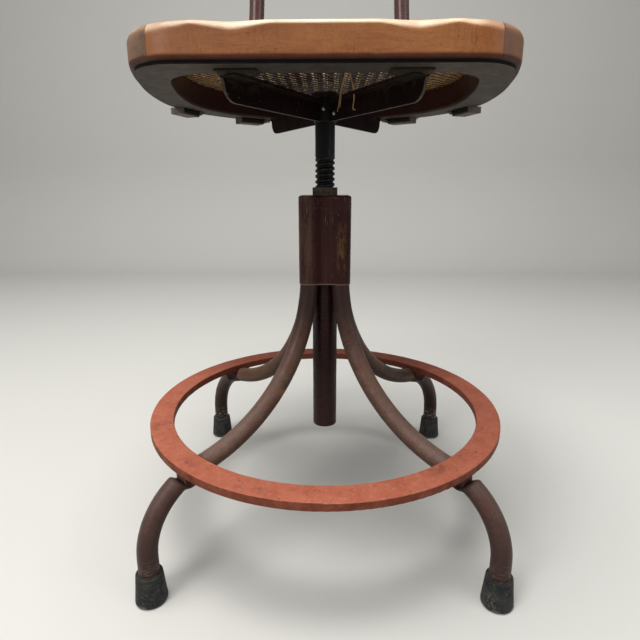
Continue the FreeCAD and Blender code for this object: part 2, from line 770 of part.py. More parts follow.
# Back uprights: a flat tongue between plate and wood, a bend, a slight lean and a straight top
def upright():
    tongue_z = plate_top_z + tongue_thickness / 2
    bend_y = upright_y - upright_bend_r
    foot = Vector(upright_foot_x, bend_y, tongue_z)
    centre_z = tongue_z + upright_bend_r
    top_of_bend = Vector(upright_foot_x, upright_y, centre_z)
    tip = block(
        upright_foot_x - tongue_half_width, upright_foot_x + tongue_half_width,
        tongue_tip_y, bend_y + tongue_overlap, plate_top_z, plate_top_z + tongue_thickness,
    )
    tip = tip.makeFillet(6.0, [e for e in tip.Edges if e.BoundBox.ZLength > 1 and e.BoundBox.YMax < bend_y])
    across = Vector(1, 0, 0)
    knee = Vector(upright_x, upright_y, upright_knee_z)
    end = Vector(upright_x, upright_y, upright_top_z)
    lean = (knee - top_of_bend).normalize()
    sections = []
    for step in range(tongue_sections + 1):
        share = step / tongue_sections
        blend = share * share * (3 - 2 * share)
        wide = tongue_half_width * 0.97 + (upright_r - tongue_half_width * 0.97) * blend
        high = tongue_thickness * 0.4 + (upright_r - tongue_thickness * 0.4) * blend
        a = math.pi / 2 * share
        centre = foot + Vector(0, upright_bend_r * math.sin(a), upright_bend_r * (1 - math.cos(a)))
        way = Vector(lean.x * share, math.cos(a), math.sin(a)).normalize()
        sections.append(oval(centre, way, across, wide, high))
    bend = Part.makeLoft(sections, True, False)
    knee_length = 40.0
    path_in = knee - lean * knee_length
    path_out = knee + Vector(0, 0, knee_length)
    half_turn = lean.getAngle(Vector(0, 0, 1)) / 2
    inward = (Vector(0, 0, 1) - lean).normalize()
    sag = knee_length * math.tan(half_turn) / 2
    arc = arc3(path_in, knee + inward * sag, path_out)
    path = [Part.makeLine(top_of_bend, path_in), arc, Part.makeLine(path_out, end)]
    tube = pipe(path, upright_r, top_of_bend, lean)
    bore = pipe(path, upright_r - upright_wall, top_of_bend, lean)
    return tip.fuse([bend, tube]).cut(bore)


right_upright = upright()


# Back: a bent board with rounded corners, bolted to the front of the uprights
board_rear_r = back_inner_r + back_thickness
board_cy = upright_y - math.sqrt((board_rear_r + upright_r + fit_gap) ** 2 - upright_x**2)
board_mid_z = back_bottom_z + back_height / 2


def back_board():
    z0, z1 = back_bottom_z, back_bottom_z + back_height
    shell = cylinder(board_rear_r, z0, z1, 0, board_cy).cut(cylinder(back_inner_r, z0, z1, 0, board_cy))
    pane = block(-back_width / 2, back_width / 2, 0, board_cy + board_rear_r + 1, z0, z1)
    along_y = [e for e in pane.Edges if max(e.BoundBox.XLength, e.BoundBox.ZLength) < 0.001]
    pane = pane.makeFillet(back_corner_r, along_y)
    board = shell.common(pane)
    return board.makeFillet(back_edge_r, board.Edges)


def bolt_axis(z):
    # From in front of the board to behind the upright, square to the board
    start = Vector(0, board_cy, z)
    way = (Vector(upright_x, upright_y, z) - start).normalize()
    return start, way


def back_bolt(z):
    start, way = bolt_axis(z)
    front_r = math.sqrt(back_inner_r**2 - (bolt_head_d / 2) ** 2) - fit_gap
    rear_end = start.distanceToPoint(Vector(upright_x, upright_y, z)) + upright_r + 2 * back_nut_height
    bolt = domed_pin(back_bolt_d / 2, bolt_head_d / 2, bolt_head_height, rear_end - front_r)
    return aimed(bolt, start + way * front_r, way)


def back_nut(z):
    start, way = bolt_axis(z)
    seat = start.distanceToPoint(Vector(upright_x, upright_y, z)) + upright_r
    body = hexagon(back_nut_flats, 0, back_nut_height)
    body = body.cut(cylinder(back_bolt_d / 2 + fit_gap, 0, back_nut_height))
    return aimed(body, start + way * (seat + fit_gap), way)


def back_bolt_hole(z):
    start, way = bolt_axis(z)
    length = 2 * back_thickness + 2 * upright_d
    front = start + way * (back_inner_r - back_thickness)
    return Part.makeCylinder(back_bolt_d / 2 + fit_gap, length, front, way)


bolt_heights = [board_mid_z - back_bolt_spacing / 2, board_mid_z + back_bolt_spacing / 2]
board = back_board()
for z in bolt_heights:
    hole = back_bolt_hole(z)
    right_upright = right_upright.cut(hole)
    board = board.cut([hole, mirrored(hole)])


def upright_plug():
    body = cylinder(upright_r, upright_top_z, upright_top_z + plug_height, upright_x, upright_y)
    body = body.makeFillet(plug_height * 0.8, edges_at(body, upright_top_z + plug_height))
    inner_r = upright_r - upright_wall - fit_gap
    return body.fuse(cylinder(inner_r, upright_top_z - plug_stem, upright_top_z, upright_x, upright_y))


def on_back(shape):
    # The whole back sits a little to one side
    return moved(shape, back_offset_x, 0)


def both_sides(shapes):
    return Part.makeCompound([on_back(s) for s in shapes] + [on_back(mirrored(s)) for s in shapes])


left_upright = on_back(mirrored(right_upright)).cut(screw_holes)
right_upright = on_back(right_upright).cut(screw_holes)
out["upright_right"] = right_upright
out["upright_left"] = left_upright
out["back_board"] = on_back(board)
out["back_bolts"] = both_sides([back_bolt(z) for z in bolt_heights])
out["back_nuts"] = both_sides([back_nut(z) for z in bolt_heights])
out["upright_plugs"] = both_sides([upright_plug()])


# Rails: the ring is notched for the tongues, drilled, and parted at the joints
notch = block(
    upright_foot_x - tongue_half_width - fit_gap, upright_foot_x + tongue_half_width + fit_gap,
    tongue_tip_y - fit_gap, upright_y, plate_top_z, plate_top_z + tongue_thickness + fit_gap,
)
openings = [on_back(notch), on_back(mirrored(notch))] + dowels + screw_holes
wood = wood_ring(True).cut(openings)
front_end = plate_front + 2 * wood_overhang
rear_end = plate_rear_r + 2 * wood_overhang
front_zone = block(-front_joint_x, front_joint_x, -front_end, -front_end / 2, plate_top_z, wood_top_z)
rear_zone = block(-rear_joint_x, rear_joint_x, rear_end / 2, rear_end, plate_top_z, wood_top_z)
out["seat_rail_front"] = ease_front(wood_ring(False).common(front_zone)).cut(openings)
out["seat_rail_rear"] = wood.common(rear_zone)
for piece in wood.cut([front_zone, rear_zone]).Solids:
    side = "right" if piece.BoundBox.Center.x > 0 else "left"
    out["seat_rail_" + side] = piece


# Cane: a holed sheet on the rabbet, held by a spline round its edge
def cane_sheet():
    sheet = opening_outline(rabbet_width - fit_gap, cane_bottom_z)
    limit = opening_outline(-cane_edge, cane_bottom_z)
    row_step = cane_pitch * math.sqrt(3) / 2
    count = int(plate_front / row_step) + 1
    holes = []
    for row in range(-count, count + 1):
        for column in range(-count, count + 1):
            x = (column + 0.5 * (row % 2)) * cane_pitch
            y = row * row_step
            if limit.isInside(Vector(x, y, cane_bottom_z), 0.001, True):
                angles = [math.radians(30 + 60 * k) for k in range(7)]
                r = cane_hole_d / 2
                points = [Vector(x + r * math.cos(a), y + r * math.sin(a), cane_bottom_z) for a in angles]
                holes.append(Part.makePolygon(points))
    holed = Part.Face([sheet.OuterWire] + holes)
    holed.validate()
    print("cane gaps", len(holes))
    return holed.extrude(up(cane_thickness))


out["cane_sheet"] = cane_sheet()
spline_top = rabbet_depth - cane_thickness + spline_proud
spline = opening_outline(rabbet_width - 2 * fit_gap, cane_bottom_z + cane_thickness).extrude(up(spline_top))
spline_z = cane_bottom_z + cane_thickness
spline = spline.cut(opening_outline(rabbet_width - spline_width, spline_z).extrude(up(spline_top)))
out["cane_spline"] = spline.makeFillet(0.8, edges_at(spline, spline_z + spline_top))


os.makedirs("parts", exist_ok=True)
for node, shape in out.items():
    shape.exportStep("parts/" + node + ".step")
    valid = all(s.isValid() for s in shape.Solids)
    print(node, "solids", len(shape.Solids), "valid", valid, "volume", round(shape.Volume))
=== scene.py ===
import math

import bpy
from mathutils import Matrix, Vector


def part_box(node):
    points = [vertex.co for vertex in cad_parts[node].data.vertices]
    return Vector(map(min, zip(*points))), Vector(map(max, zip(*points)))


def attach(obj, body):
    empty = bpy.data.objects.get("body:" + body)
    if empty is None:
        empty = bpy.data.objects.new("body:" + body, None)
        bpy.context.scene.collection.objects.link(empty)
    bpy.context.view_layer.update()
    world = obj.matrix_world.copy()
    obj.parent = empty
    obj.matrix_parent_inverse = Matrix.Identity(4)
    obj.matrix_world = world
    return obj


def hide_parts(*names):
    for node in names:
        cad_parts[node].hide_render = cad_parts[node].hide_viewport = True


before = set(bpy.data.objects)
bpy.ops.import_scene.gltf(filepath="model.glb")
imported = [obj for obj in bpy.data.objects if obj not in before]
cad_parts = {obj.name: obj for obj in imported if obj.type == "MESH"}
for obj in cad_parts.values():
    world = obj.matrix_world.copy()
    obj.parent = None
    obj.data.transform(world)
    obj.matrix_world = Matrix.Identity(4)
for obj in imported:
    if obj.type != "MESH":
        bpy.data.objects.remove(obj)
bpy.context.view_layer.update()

scene = bpy.context.scene
print("frame loaded:", len(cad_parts), "nodes")


# small helpers

def srgb(red, green, blue):
    # a colour given as it looks on screen, 0-255
    def toLinear(value):
        value = value / 255
        return value / 12.92 if value <= 0.04045 else ((value + 0.055) / 1.055) ** 2.4
    return (toLinear(red), toLinear(green), toLinear(blue), 1)


def plainMesh(name, vertices, faces, material):
    mesh = bpy.data.meshes.new(name)
    mesh.from_pydata(vertices, [], faces)
    mesh.materials.append(material)
    mesh.polygons.foreach_set("use_smooth", [True] * len(faces))
    obj = bpy.data.objects.new(name, mesh)
    scene.collection.objects.link(obj)
    return obj


class NodeTree:
    # short way to add and link nodes, for shaders and for geometry
    def __init__(self, tree):
        self.tree = tree

    def feed(self, socket, value):
        if isinstance(value, bpy.types.NodeSocket):
            self.tree.links.new(value, socket)
        else:
            socket.default_value = value

    def add(self, kind, inputs=None, **settings):
        node = self.tree.nodes.new(kind)
        for key, value in settings.items():
            setattr(node, key, value)
        for key, value in (inputs or {}).items():
            self.feed(node.inputs[key], value)
        return node

    def grow(self, kind, inputs=None, **settings):
        return self.add("GeometryNode" + kind, inputs, **settings).outputs[0]

    def placed(self, group, place, **inputs):
        return self.add("ShaderNodeGroup", {"Vector": place, **inputs}, node_tree=group).outputs

    def math(self, operation, a, b=0.0, clamp=False):
        return self.add("ShaderNodeMath", {0: a, 1: b}, operation=operation, use_clamp=clamp).outputs[0]

    def plus(self, *values):
        total = values[0]
        for value in values[1:]:
            total = self.math("ADD", total, value)
        return total

    def times(self, *values):
        total = values[0]
        for value in values[1:]:
            total = self.math("MULTIPLY", total, value)
        return total

    def minus(self, a, b):
        return self.math("SUBTRACT", a, b)

    def over(self, a, b):
        return self.math("DIVIDE", a, b)

    def size(self, value):
        return self.math("ABSOLUTE", value)

    def vector(self, operation, a, b=(0, 0, 0)):
        node = self.add("ShaderNodeVectorMath", {0: a, 1: b}, operation=operation)
        return node.outputs["Value"] if operation in ("DOT_PRODUCT", "LENGTH") else node.outputs[0]

    def split(self, vector):
        return self.add("ShaderNodeSeparateXYZ", {0: vector}).outputs

    def join(self, x, y, z):
        return self.add("ShaderNodeCombineXYZ", {0: x, 1: y, 2: z}).outputs[0]

    def stretch(self, vector, x, y, z):
        return self.vector("MULTIPLY", vector, (x, y, z))

    def fromAxis(self, place):
        return self.vector("LENGTH", self.stretch(place, 1, 1, 0))

    def fromPoint(self, place, point):
        return self.vector("LENGTH", self.vector("SUBTRACT", place, point))

    def remap(self, value, low, high, toLow=0.0, toHigh=1.0, smooth=False):
        inputs = {"Value": value, "From Min": low, "From Max": high, "To Min": toLow, "To Max": toHigh}
        curve = "SMOOTHSTEP" if smooth else "LINEAR"
        return self.add("ShaderNodeMapRange", inputs, interpolation_type=curve).outputs[0]

    def noise(self, vector, scale, detail=4.0, roughness=0.55, distortion=0.0):
        return self.add("ShaderNodeTexNoise", {
            "Vector": vector, "Scale": scale, "Detail": detail, "Roughness": roughness,
            "Distortion": distortion}).outputs["Fac"]

    def patches(self, place, scale, low, high, detail=4, roughness=0.55, least=0.0, most=1.0):
        # a mask made from noise; a scale of three numbers also stretches it
        if isinstance(scale, tuple):
            place = self.stretch(place, *scale)
            scale = 1.0
        return self.remap(self.noise(place, scale, detail, roughness), low, high, least, most)

    def mix(self, factor, a, b):
        node = self.add("ShaderNodeMix", data_type="RGBA")
        for index, value in ((0, factor), (6, a), (7, b)):
            self.feed(node.inputs[index], value)
        return node.outputs[2]

    def blend(self, factor, a, b):
        return self.mix(factor, srgb(*a), srgb(*b))

    def layers(self, colour, rows):
        # tones laid over each other: each row has a tone, 0-255, and masks and shares that are multiplied
        for tone, *masks in rows:
            colour = self.mix(self.times(*masks), colour, srgb(*tone))
        return colour

    def finish(self, shader, colour, rough, height, strength, distance):
        bump = self.add("ShaderNodeBump", {"Height": height, "Strength": strength, "Distance": distance})
        self.feed(shader["Base Color"], colour)
        self.feed(shader["Roughness"], rough)
        self.feed(shader["Normal"], bump.outputs[0])


def newGroup(name, kind, inputs, *outputs):
    # a tree with an input for each value, where None stands for a vector
    socketTypes = {int: "NodeSocketInt", float: "NodeSocketFloat"}
    tree = bpy.data.node_groups.new(name, kind)
    for label, value in inputs.items():
        socketType = socketTypes.get(type(value), "NodeSocketVector")
        socket = tree.interface.new_socket(label, in_out="INPUT", socket_type=socketType)
        if value is not None:
            socket.default_value = value
    for label in outputs:
        socketType = "NodeSocketGeometry" if label == "Geometry" else "NodeSocketFloat"
        tree.interface.new_socket(label, in_out="OUTPUT", socket_type=socketType)
    nodes = NodeTree(tree)
    return tree, nodes, nodes.add("NodeGroupInput").outputs, nodes.add("NodeGroupOutput").inputs


def newMaterial(name, gloss=0.5, **sockets):
    material = bpy.data.materials.new(name)
    material.use_nodes = True
    material.node_tree.nodes.clear()
    nodes = NodeTree(material.node_tree)
    shader = nodes.add("ShaderNodeBsdfPrincipled", {"Specular IOR Level": gloss, **sockets})
    nodes.add("ShaderNodeOutputMaterial", {"Surface": shader.outputs[0]})
    place = nodes.add("ShaderNodeTexCoord").outputs["Object"]
    return material, nodes, shader.inputs, place


def finishGrower(nodes, result, geometry, material):
    geometry = nodes.grow("RealizeInstances", {"Geometry": geometry})
    nodes.feed(result["Geometry"], nodes.grow("SetMaterial", {"Geometry": geometry, "Material": material}))


def grownMesh(name, tree, values):
    # runs a geometry tree on an empty object and keeps the result as a plain mesh
    obj = bpy.data.objects.new(name, bpy.data.meshes.new(name))
    scene.collection.objects.link(obj)
    modifier = obj.modifiers.new("grow", "NODES")
    modifier.node_group = tree
    for item in tree.interface.items_tree:
        if item.name in values and item.in_out == "INPUT":
            modifier[item.identifier] = values[item.name]
    evaluated = obj.evaluated_get(bpy.context.evaluated_depsgraph_get())
    mesh = bpy.data.meshes.new_from_object(evaluated)
    obj.modifiers.remove(modifier)
    obj.data = mesh
    print(name, "grown:", len(mesh.polygons), "faces")
    return obj


# camera, light and floor

view = {"place": (0.0038, -0.6273, 0.4352), "pitch": 15.09, "yaw": 0.91, "roll": 0.07, "lens": 27.72,
        "sensor": 36, "clip": 0.01}
camera = bpy.data.objects.new("camera", bpy.data.cameras.new("camera"))
camera.data.lens = view["lens"]
camera.data.sensor_width = view["sensor"]
camera.data.clip_start = view["clip"]
camera.location = view["place"]
camera.rotation_euler = [math.radians(a) for a in (90 - view["pitch"], view["roll"], view["yaw"])]
scene.collection.objects.link(camera)
scene.camera = camera
scene.view_settings.view_transform = "Standard"

studio = {
    "sky": (0.97, 0.98, 1, 1), "fill": 0.21, "background": 0.62,
    "floor": (220, 219, 214), "floorBounce": (160, 158, 153),
    "near": -3.0, "bend": 1.9, "radius": 0.6, "top": 4.0, "side": 5, "steps": 12,
    # each lamp: place, target, size, power, colour
    "lamps": {"topLight": ((-0.3, -0.35, 2.7), (0, -0.1, 0.3), 1.8, 65, (1, 0.99, 0.97)),
              "keyLight": ((-1.5, -1.9, 1.7), (0, 0, 0.4), 1.2, 28, (1, 0.985, 0.96)),
              "sideLight": ((1.9, -1.2, 1.1), (0, 0, 0.4), 1.4, 7, (0.96, 0.98, 1))}}


def seenDirectly(nodes):
    # 1 for a ray from the camera, a mirror or a glass, 0 for light that bounces
    path = nodes.add("ShaderNodeLightPath").outputs
    seen = nodes.math("MAXIMUM", path["Is Camera Ray"], path["Is Glossy Ray"])
    return nodes.math("MAXIMUM", seen, path["Is Transmission Ray"])


def lightStudio():
    world = bpy.data.worlds.new("studioWorld")
    scene.world = world
    world.use_nodes = True
    world.node_tree.nodes.clear()
    nodes = NodeTree(world.node_tree)
    strength = nodes.remap(seenDirectly(nodes), 0, 1, studio["fill"], studio["background"])
    background = nodes.add("ShaderNodeBackground", {"Color": studio["sky"], "Strength": strength})
    nodes.add("ShaderNodeOutputWorld", {"Surface": background.outputs[0]})


def addLight(name, place, target, size, power, colour):
    lamp = bpy.data.lights.new(name, "AREA")
    lamp.shape = "DISK"
    lamp.size = size
    lamp.energy = power
    lamp.color = colour
    obj = bpy.data.objects.new(name, lamp)
    obj.location = place
    obj.rotation_euler = (Vector(target) - Vector(place)).to_track_quat("-Z", "Y").to_euler()
    scene.collection.objects.link(obj)


def makeFloor():
    # a flat floor that sweeps up to the backdrop
    material, nodes, shader, place = newMaterial("studioFloor", 0.1, Roughness=0.8)
    tone = nodes.blend(seenDirectly(nodes), studio["floorBounce"], studio["floor"])
    nodes.feed(shader["Base Color"], tone)
    bend, radius, side = studio["bend"], studio["radius"], studio["side"]
    profile = [(studio["near"], 0.0), (bend, 0.0)]
    for step in range(1, studio["steps"] + 1):
        angle = math.pi / 2 * step / studio["steps"]
        profile.append((bend + radius * math.sin(angle), radius - radius * math.cos(angle)))
    profile.append((bend + radius, studio["top"]))
    vertices = [(x, y, z) for y, z in profile for x in (-side, side)]
    faces = [(2 * k, 2 * k + 1, 2 * k + 3, 2 * k + 2) for k in range(len(profile) - 1)]
    plainMesh("studioSweep", vertices, faces, material)


lightStudio()
for lampName, lampSettings in studio["lamps"].items():
    addLight(lampName, *lampSettings)
makeFloor()
print("camera, light and floor ready")


# shared effects

def buildEdgeWear():
    # where a convex edge is rubbed: a rounded normal compared with the true one, broken up by noise
    inputs = {"Vector": None, "Radius": 0.0015, "Breakup": 220.0, "Amount": 0.5}
    group, nodes, given, result = newGroup("edgeWear", "ShaderNodeTree", inputs, "Mask")
    rounded = nodes.add("ShaderNodeBevel", {"Radius": given["Radius"]}, samples=4).outputs[0]
    true = nodes.add("ShaderNodeNewGeometry").outputs["Normal"]
    turned = nodes.minus(1.0, nodes.vector("DOT_PRODUCT", rounded, true))
    rough = nodes.noise(given["Vector"], given["Breakup"], 5, 0.65)
    worn = nodes.times(nodes.remap(turned, 0.015, 0.12), nodes.remap(rough, 0.3, 0.62))
    nodes.feed(result["Mask"], nodes.math("MULTIPLY", worn, given["Amount"], clamp=True))
    return group


def buildSpecks():
    # small spots of one size, more or fewer of them, gathered in patches
    inputs = {"Vector": None, "Scale": 400.0, "Share": 0.2, "Gather": 40.0}
    group, nodes, given, result = newGroup("specks", "ShaderNodeTree", inputs, "Mask")
    cells = nodes.add("ShaderNodeTexVoronoi", {"Vector": given["Vector"], "Scale": given["Scale"]}).outputs
    value = nodes.add("ShaderNodeSeparateColor", {"Color": cells["Color"]}).outputs[0]
    chosen = nodes.math("LESS_THAN", value, given["Share"])
    near = nodes.remap(cells["Distance"], 0.2, 0.5, 1, 0)
    patches = nodes.patches(given["Vector"], given["Gather"], 0.35, 0.6, 3)
    nodes.feed(result["Mask"], nodes.math("MULTIPLY", nodes.times(chosen, near), patches, clamp=True))
    return group


def buildCrust():
    # uneven, blotchy paint: big clouds broken by a finer, sharper crust
    inputs = {"Vector": None, "Scale": 60.0, "Contrast": 0.1}
    group, nodes, given, result = newGroup("crust", "ShaderNodeTree", inputs, "Mask")
    clouds = nodes.noise(given["Vector"], given["Scale"], 3, 0.6)
    fine = nodes.noise(given["Vector"], nodes.times(given["Scale"], 5.0), 6, 0.75, 0.4)
    both = nodes.plus(nodes.times(clouds, 0.5), nodes.times(fine, 0.5))
    low = nodes.minus(0.5, given["Contrast"])
    high = nodes.plus(0.5, given["Contrast"])
    nodes.feed(result["Mask"], nodes.remap(both, low, high, smooth=True))
    return group


def buildFacing():
    # which way a face looks: up or down, and out from the spindle or in towards it
    group, nodes, given, result = newGroup("facing", "ShaderNodeTree", {"Vector": None}, "Up", "Out")
    normal = nodes.add("ShaderNodeNewGeometry").outputs["Normal"]
    outward = nodes.vector("NORMALIZE", nodes.stretch(given["Vector"], 1, 1, 0))
    nodes.feed(result["Up"], nodes.split(normal)[2])
    nodes.feed(result["Out"], nodes.vector("DOT_PRODUCT", normal, outward))
    return group


def buildGrain():
    # wood grain along the first axis of the vector it is given
    inputs = {"Vector": None, "Fineness": 1.0}
    group, nodes, given, result = newGroup("woodGrain", "ShaderNodeTree", inputs, "Bands", "Pores", "Ticks")
    along = given["Vector"]
    wander = nodes.noise(nodes.stretch(along, 3, 14, 14), given["Fineness"], 3)
    bands = nodes.noise(nodes.stretch(along, 1, 9, 9), nodes.times(given["Fineness"], 9.0), 6, 0.6, 1.2)
    both = nodes.plus(nodes.times(wander, 0.6), nodes.times(bands, 0.4))
    pores = nodes.noise(nodes.stretch(along, 230, 1700, 1700), 1.0, 2)
    fleck = nodes.patches(along, (800, 130, 130), 0.46, 0.7, 3, 0.6)
    spread = nodes.patches(along, 14, 0.42, 0.62, 3)
    nodes.feed(result["Bands"], nodes.remap(both, 0.36, 0.64))
    nodes.feed(result["Pores"], nodes.remap(pores, 0.56, 0.72))
    nodes.feed(result["Ticks"], nodes.times(fleck, spread))
    return group


edgeWear = buildEdgeWear()
specks = buildSpecks()
crust = buildCrust()
facing = buildFacing()
woodGrain = buildGrain()


# painted steel: each piece has its look and, where its tone varies with the place, a function for that

usualPaint = {"darkShare": 0.7, "contrast": 0.14, "specks": 0.05, "speckScale": 500, "edges": 0.3,
              "gloss": 0.15, "rough": 0.6, "grit": 0.3}


def paintedSteel(name, look, addTones=None):
    look = {**usualPaint, **look}
    material, nodes, shader, place = newMaterial(name, look["gloss"])
    cloudy = nodes.placed(crust, place, Scale=look["cloud"], Contrast=look["contrast"])["Mask"]
    spots = nodes.placed(specks, place, Scale=look["speckScale"], Share=look["specks"])["Mask"]
    edges = nodes.placed(edgeWear, place, Amount=look["edges"])["Mask"]
    rubbed = nodes.math("MAXIMUM", edges, nodes.times(spots, 0.75))
    colour = nodes.mix(nodes.times(cloudy, look["darkShare"]), srgb(*look["paint"]), srgb(*look["dark"]))
    colour = nodes.layers(colour, [(look["worn"], rubbed)])
    if addTones:
        colour = addTones(nodes, place, colour)
    rough = nodes.patches(place, 90, 0.3, 0.7, least=look["rough"] - 0.08, most=look["rough"] + 0.1)
    rough = nodes.math("ADD", rough, nodes.times(rubbed, 0.2), clamp=True)
    grit = nodes.times(nodes.noise(place, 900, 4, 0.65), look["grit"])
    height = nodes.plus(grit, nodes.times(cloudy, -0.3), nodes.times(rubbed, -0.5))
    nodes.finish(shader, colour, rough, height, 0.45, 0.0004)
    return material


legLook = {
    "paint": (116, 88, 75), "dark": (68, 46, 38), "worn": (168, 146, 126), "cloud": 75, "contrast": 0.16,
    "specks": 0.2, "speckScale": 800, "gloss": 0.22, "rough": 0.42, "grit": 0.45,
    "crushFrom": 0.192, "crushTo": 0.226, "rustSpot": (-0.052, -0.066, 0.1915)}


def addLegTones(nodes, place, colour):
    # dust on top, partly a painted highlight, painted shade below and in the crush under the ring,
    # darker near the hub and behind, tan on the left rear one, flaking by the cap
    x, y, height = nodes.split(place)
    up = nodes.placed(facing, place)["Up"]
    reach = nodes.fromAxis(place)
    rusty = nodes.patches(place, 38, 0.48, 0.62, 4, 0.6)
    # painted shade: faces that turn down are darkened
    underShade = nodes.remap(up, 0.4, -0.45, smooth=True)
    # dust on faces that look up, and a painted highlight on the lit top
    dust = nodes.times(nodes.remap(up, 0.2, 0.85, smooth=True), nodes.remap(height, 0.3, 0.26))
    beyondRing = nodes.remap(reach, 0.2, 0.228, smooth=True)
    low = nodes.remap(height, 0.13, 0.04, smooth=True)
    nearHub = nodes.remap(height, 0.215, 0.3, smooth=True)
    # painted shade: the crush under the ring is darkened
    shadeUnderRing = nodes.times(nodes.remap(reach, legLook["crushFrom"], legLook["crushFrom"] + 0.008),
                          nodes.remap(reach, legLook["crushTo"], legLook["crushTo"] - 0.01))
    behind = nodes.remap(y, 0.04, 0.1)
    leftRear = nodes.times(behind, nodes.remap(x, 0.0, -0.03))
    rightRear = nodes.times(behind, nodes.remap(x, 0.0, 0.03))
    run = nodes.times(nodes.remap(height, 0.13, 0.145), nodes.remap(height, 0.24, 0.19))
    patchy = nodes.patches(place, 60, 0.4, 0.56, least=0.5, most=0.9)
    flaked = nodes.patches(place, (120, 120, 520), 0.52, 0.6, 5, 0.7)
    nearCap = nodes.times(nodes.remap(height, 0.06, 0.045), nodes.plus(nodes.times(behind, 0.6), 0.25))
    spot = nodes.remap(nodes.fromPoint(place, legLook["rustSpot"]), 0.003, 0.006, 0.8, 0)
    return nodes.layers(colour, [
        ((122, 72, 54), rusty, 0.4),
        ((50, 29, 23), underShade, 0.75),
        ((152, 130, 120), dust, 0.25),
        ((56, 37, 35), beyondRing, 0.6),
        ((46, 28, 24), low, 0.55),
        ((36, 17, 15), nearHub, 0.9),
        ((34, 22, 20), shadeUnderRing, 0.6),
        ((86, 60, 36), leftRear, run, patchy),
        ((56, 38, 28), rightRear, run, patchy),
        ((30, 16, 14), behind, low, 0.75),
        ((150, 132, 112), flaked, nearCap),
        ((152, 96, 58), spot)])


hubLook = {
    "paint": (52, 25, 22), "dark": (30, 13, 12), "worn": (108, 80, 60), "cloud": 24, "contrast": 0.12,
    "edges": 0.6, "gloss": 0.12, "rough": 0.3, "grit": 0.35,
    "hollowX": -0.0078, "rightLobeX": 0.0205, "lipZ": 0.3192}


def addHubTones(nodes, place, colour):
    # dark maroon, drawn in upright streaks that are partly painted sheen, painted shade in the hollow and on
    # the right edge, browner on its left lobe with a painted highlight, a painted highlight on the lower
    # lip, tan rust on the right one
    x, y, z = nodes.split(place)
    # upright streaks, partly painted sheen
    drawnSheen = nodes.patches(place, (210, 210, 5), 0.48, 0.62, 4, 0.6)
    # painted shade in the hollow between the front lobes
    fromHollow = nodes.size(nodes.minus(x, hubLook["hollowX"]))
    hollowShade = nodes.remap(fromHollow, 0.0022, 0.0052, 1, 0, smooth=True)
    # painted shade along the right edge, which turns away from the light
    rightEdgeShade = nodes.remap(x, 0.024, 0.0285, smooth=True)
    front = nodes.remap(y, 0.0, -0.01)
    # browner and lighter left lobe, partly a painted highlight on the lit side
    left = nodes.times(nodes.remap(x, -0.012, -0.018, smooth=True), front)
    brown = nodes.patches(place, (120, 120, 20), 0.36, 0.6, 4, 0.65)
    fromRight = nodes.size(nodes.minus(x, hubLook["rightLobeX"]))
    right = nodes.times(nodes.remap(fromRight, 0.002, 0.007, 1, 0), front)
    worn = nodes.times(nodes.remap(z, 0.325, 0.35, smooth=True), nodes.remap(z, 0.4, 0.38, smooth=True))
    rust = nodes.patches(place, (240, 240, 90), 0.44, 0.6, 5, 0.7)
    scratch = nodes.patches(place, (700, 700, 60), 0.64, 0.7, 3, 0.5)
    nearTop = nodes.times(nodes.remap(z, 0.385, 0.395), front)
    # a painted highlight along the lower lip
    lip = nodes.remap(z, hubLook["lipZ"] + 0.0014, hubLook["lipZ"])
    return nodes.layers(colour, [
        ((70, 40, 34), drawnSheen, 0.6),
        ((36, 5, 4), hollowShade, 0.85),
        ((46, 12, 9), rightEdgeShade, 0.6),
        ((88, 66, 54), left, brown, 0.7),
        ((122, 92, 56), right, worn, rust, 0.62),
        ((150, 126, 108), scratch, nearTop, 0.6),
        ((140, 116, 102), lip, 0.55)])


postLook = {
    "paint": (40, 18, 16), "dark": (24, 10, 9), "worn": (104, 76, 62), "cloud": 30, "contrast": 0.12,
    "specks": 0.08, "speckScale": 700, "gloss": 0.14, "rough": 0.32}


def addPostTones(nodes, place, colour):
    # lighter towards its lower end
    low = nodes.remap(nodes.split(place)[2], 0.22, 0.13)
    return nodes.layers(colour, [((66, 40, 35), low, 0.5)])


uprightLook = {
    "paint": (98, 60, 56), "dark": (66, 36, 34), "worn": (140, 106, 96), "darkShare": 0.6, "cloud": 22,
    "specks": 0.08, "gloss": 0.5, "rough": 0.26, "grit": 0.2}

ringLook = {
    "paint": (190, 110, 86), "dark": (168, 88, 64), "worn": (104, 66, 54), "darkShare": 0.8, "cloud": 34,
    "specks": 0.06, "speckScale": 260, "edges": 0.35, "gloss": 0.2, "rough": 0.62, "grit": 0.5,
    "topZ": 0.151,
    # where shoes rub it: x, y and how far the rubbing reaches
    "shoes": [(-0.152, -0.165, 0.026), (-0.075, -0.21, 0.028), (0.125, -0.168, 0.03), (0.155, -0.14, 0.02),
              (-0.2, -0.075, 0.02)]}


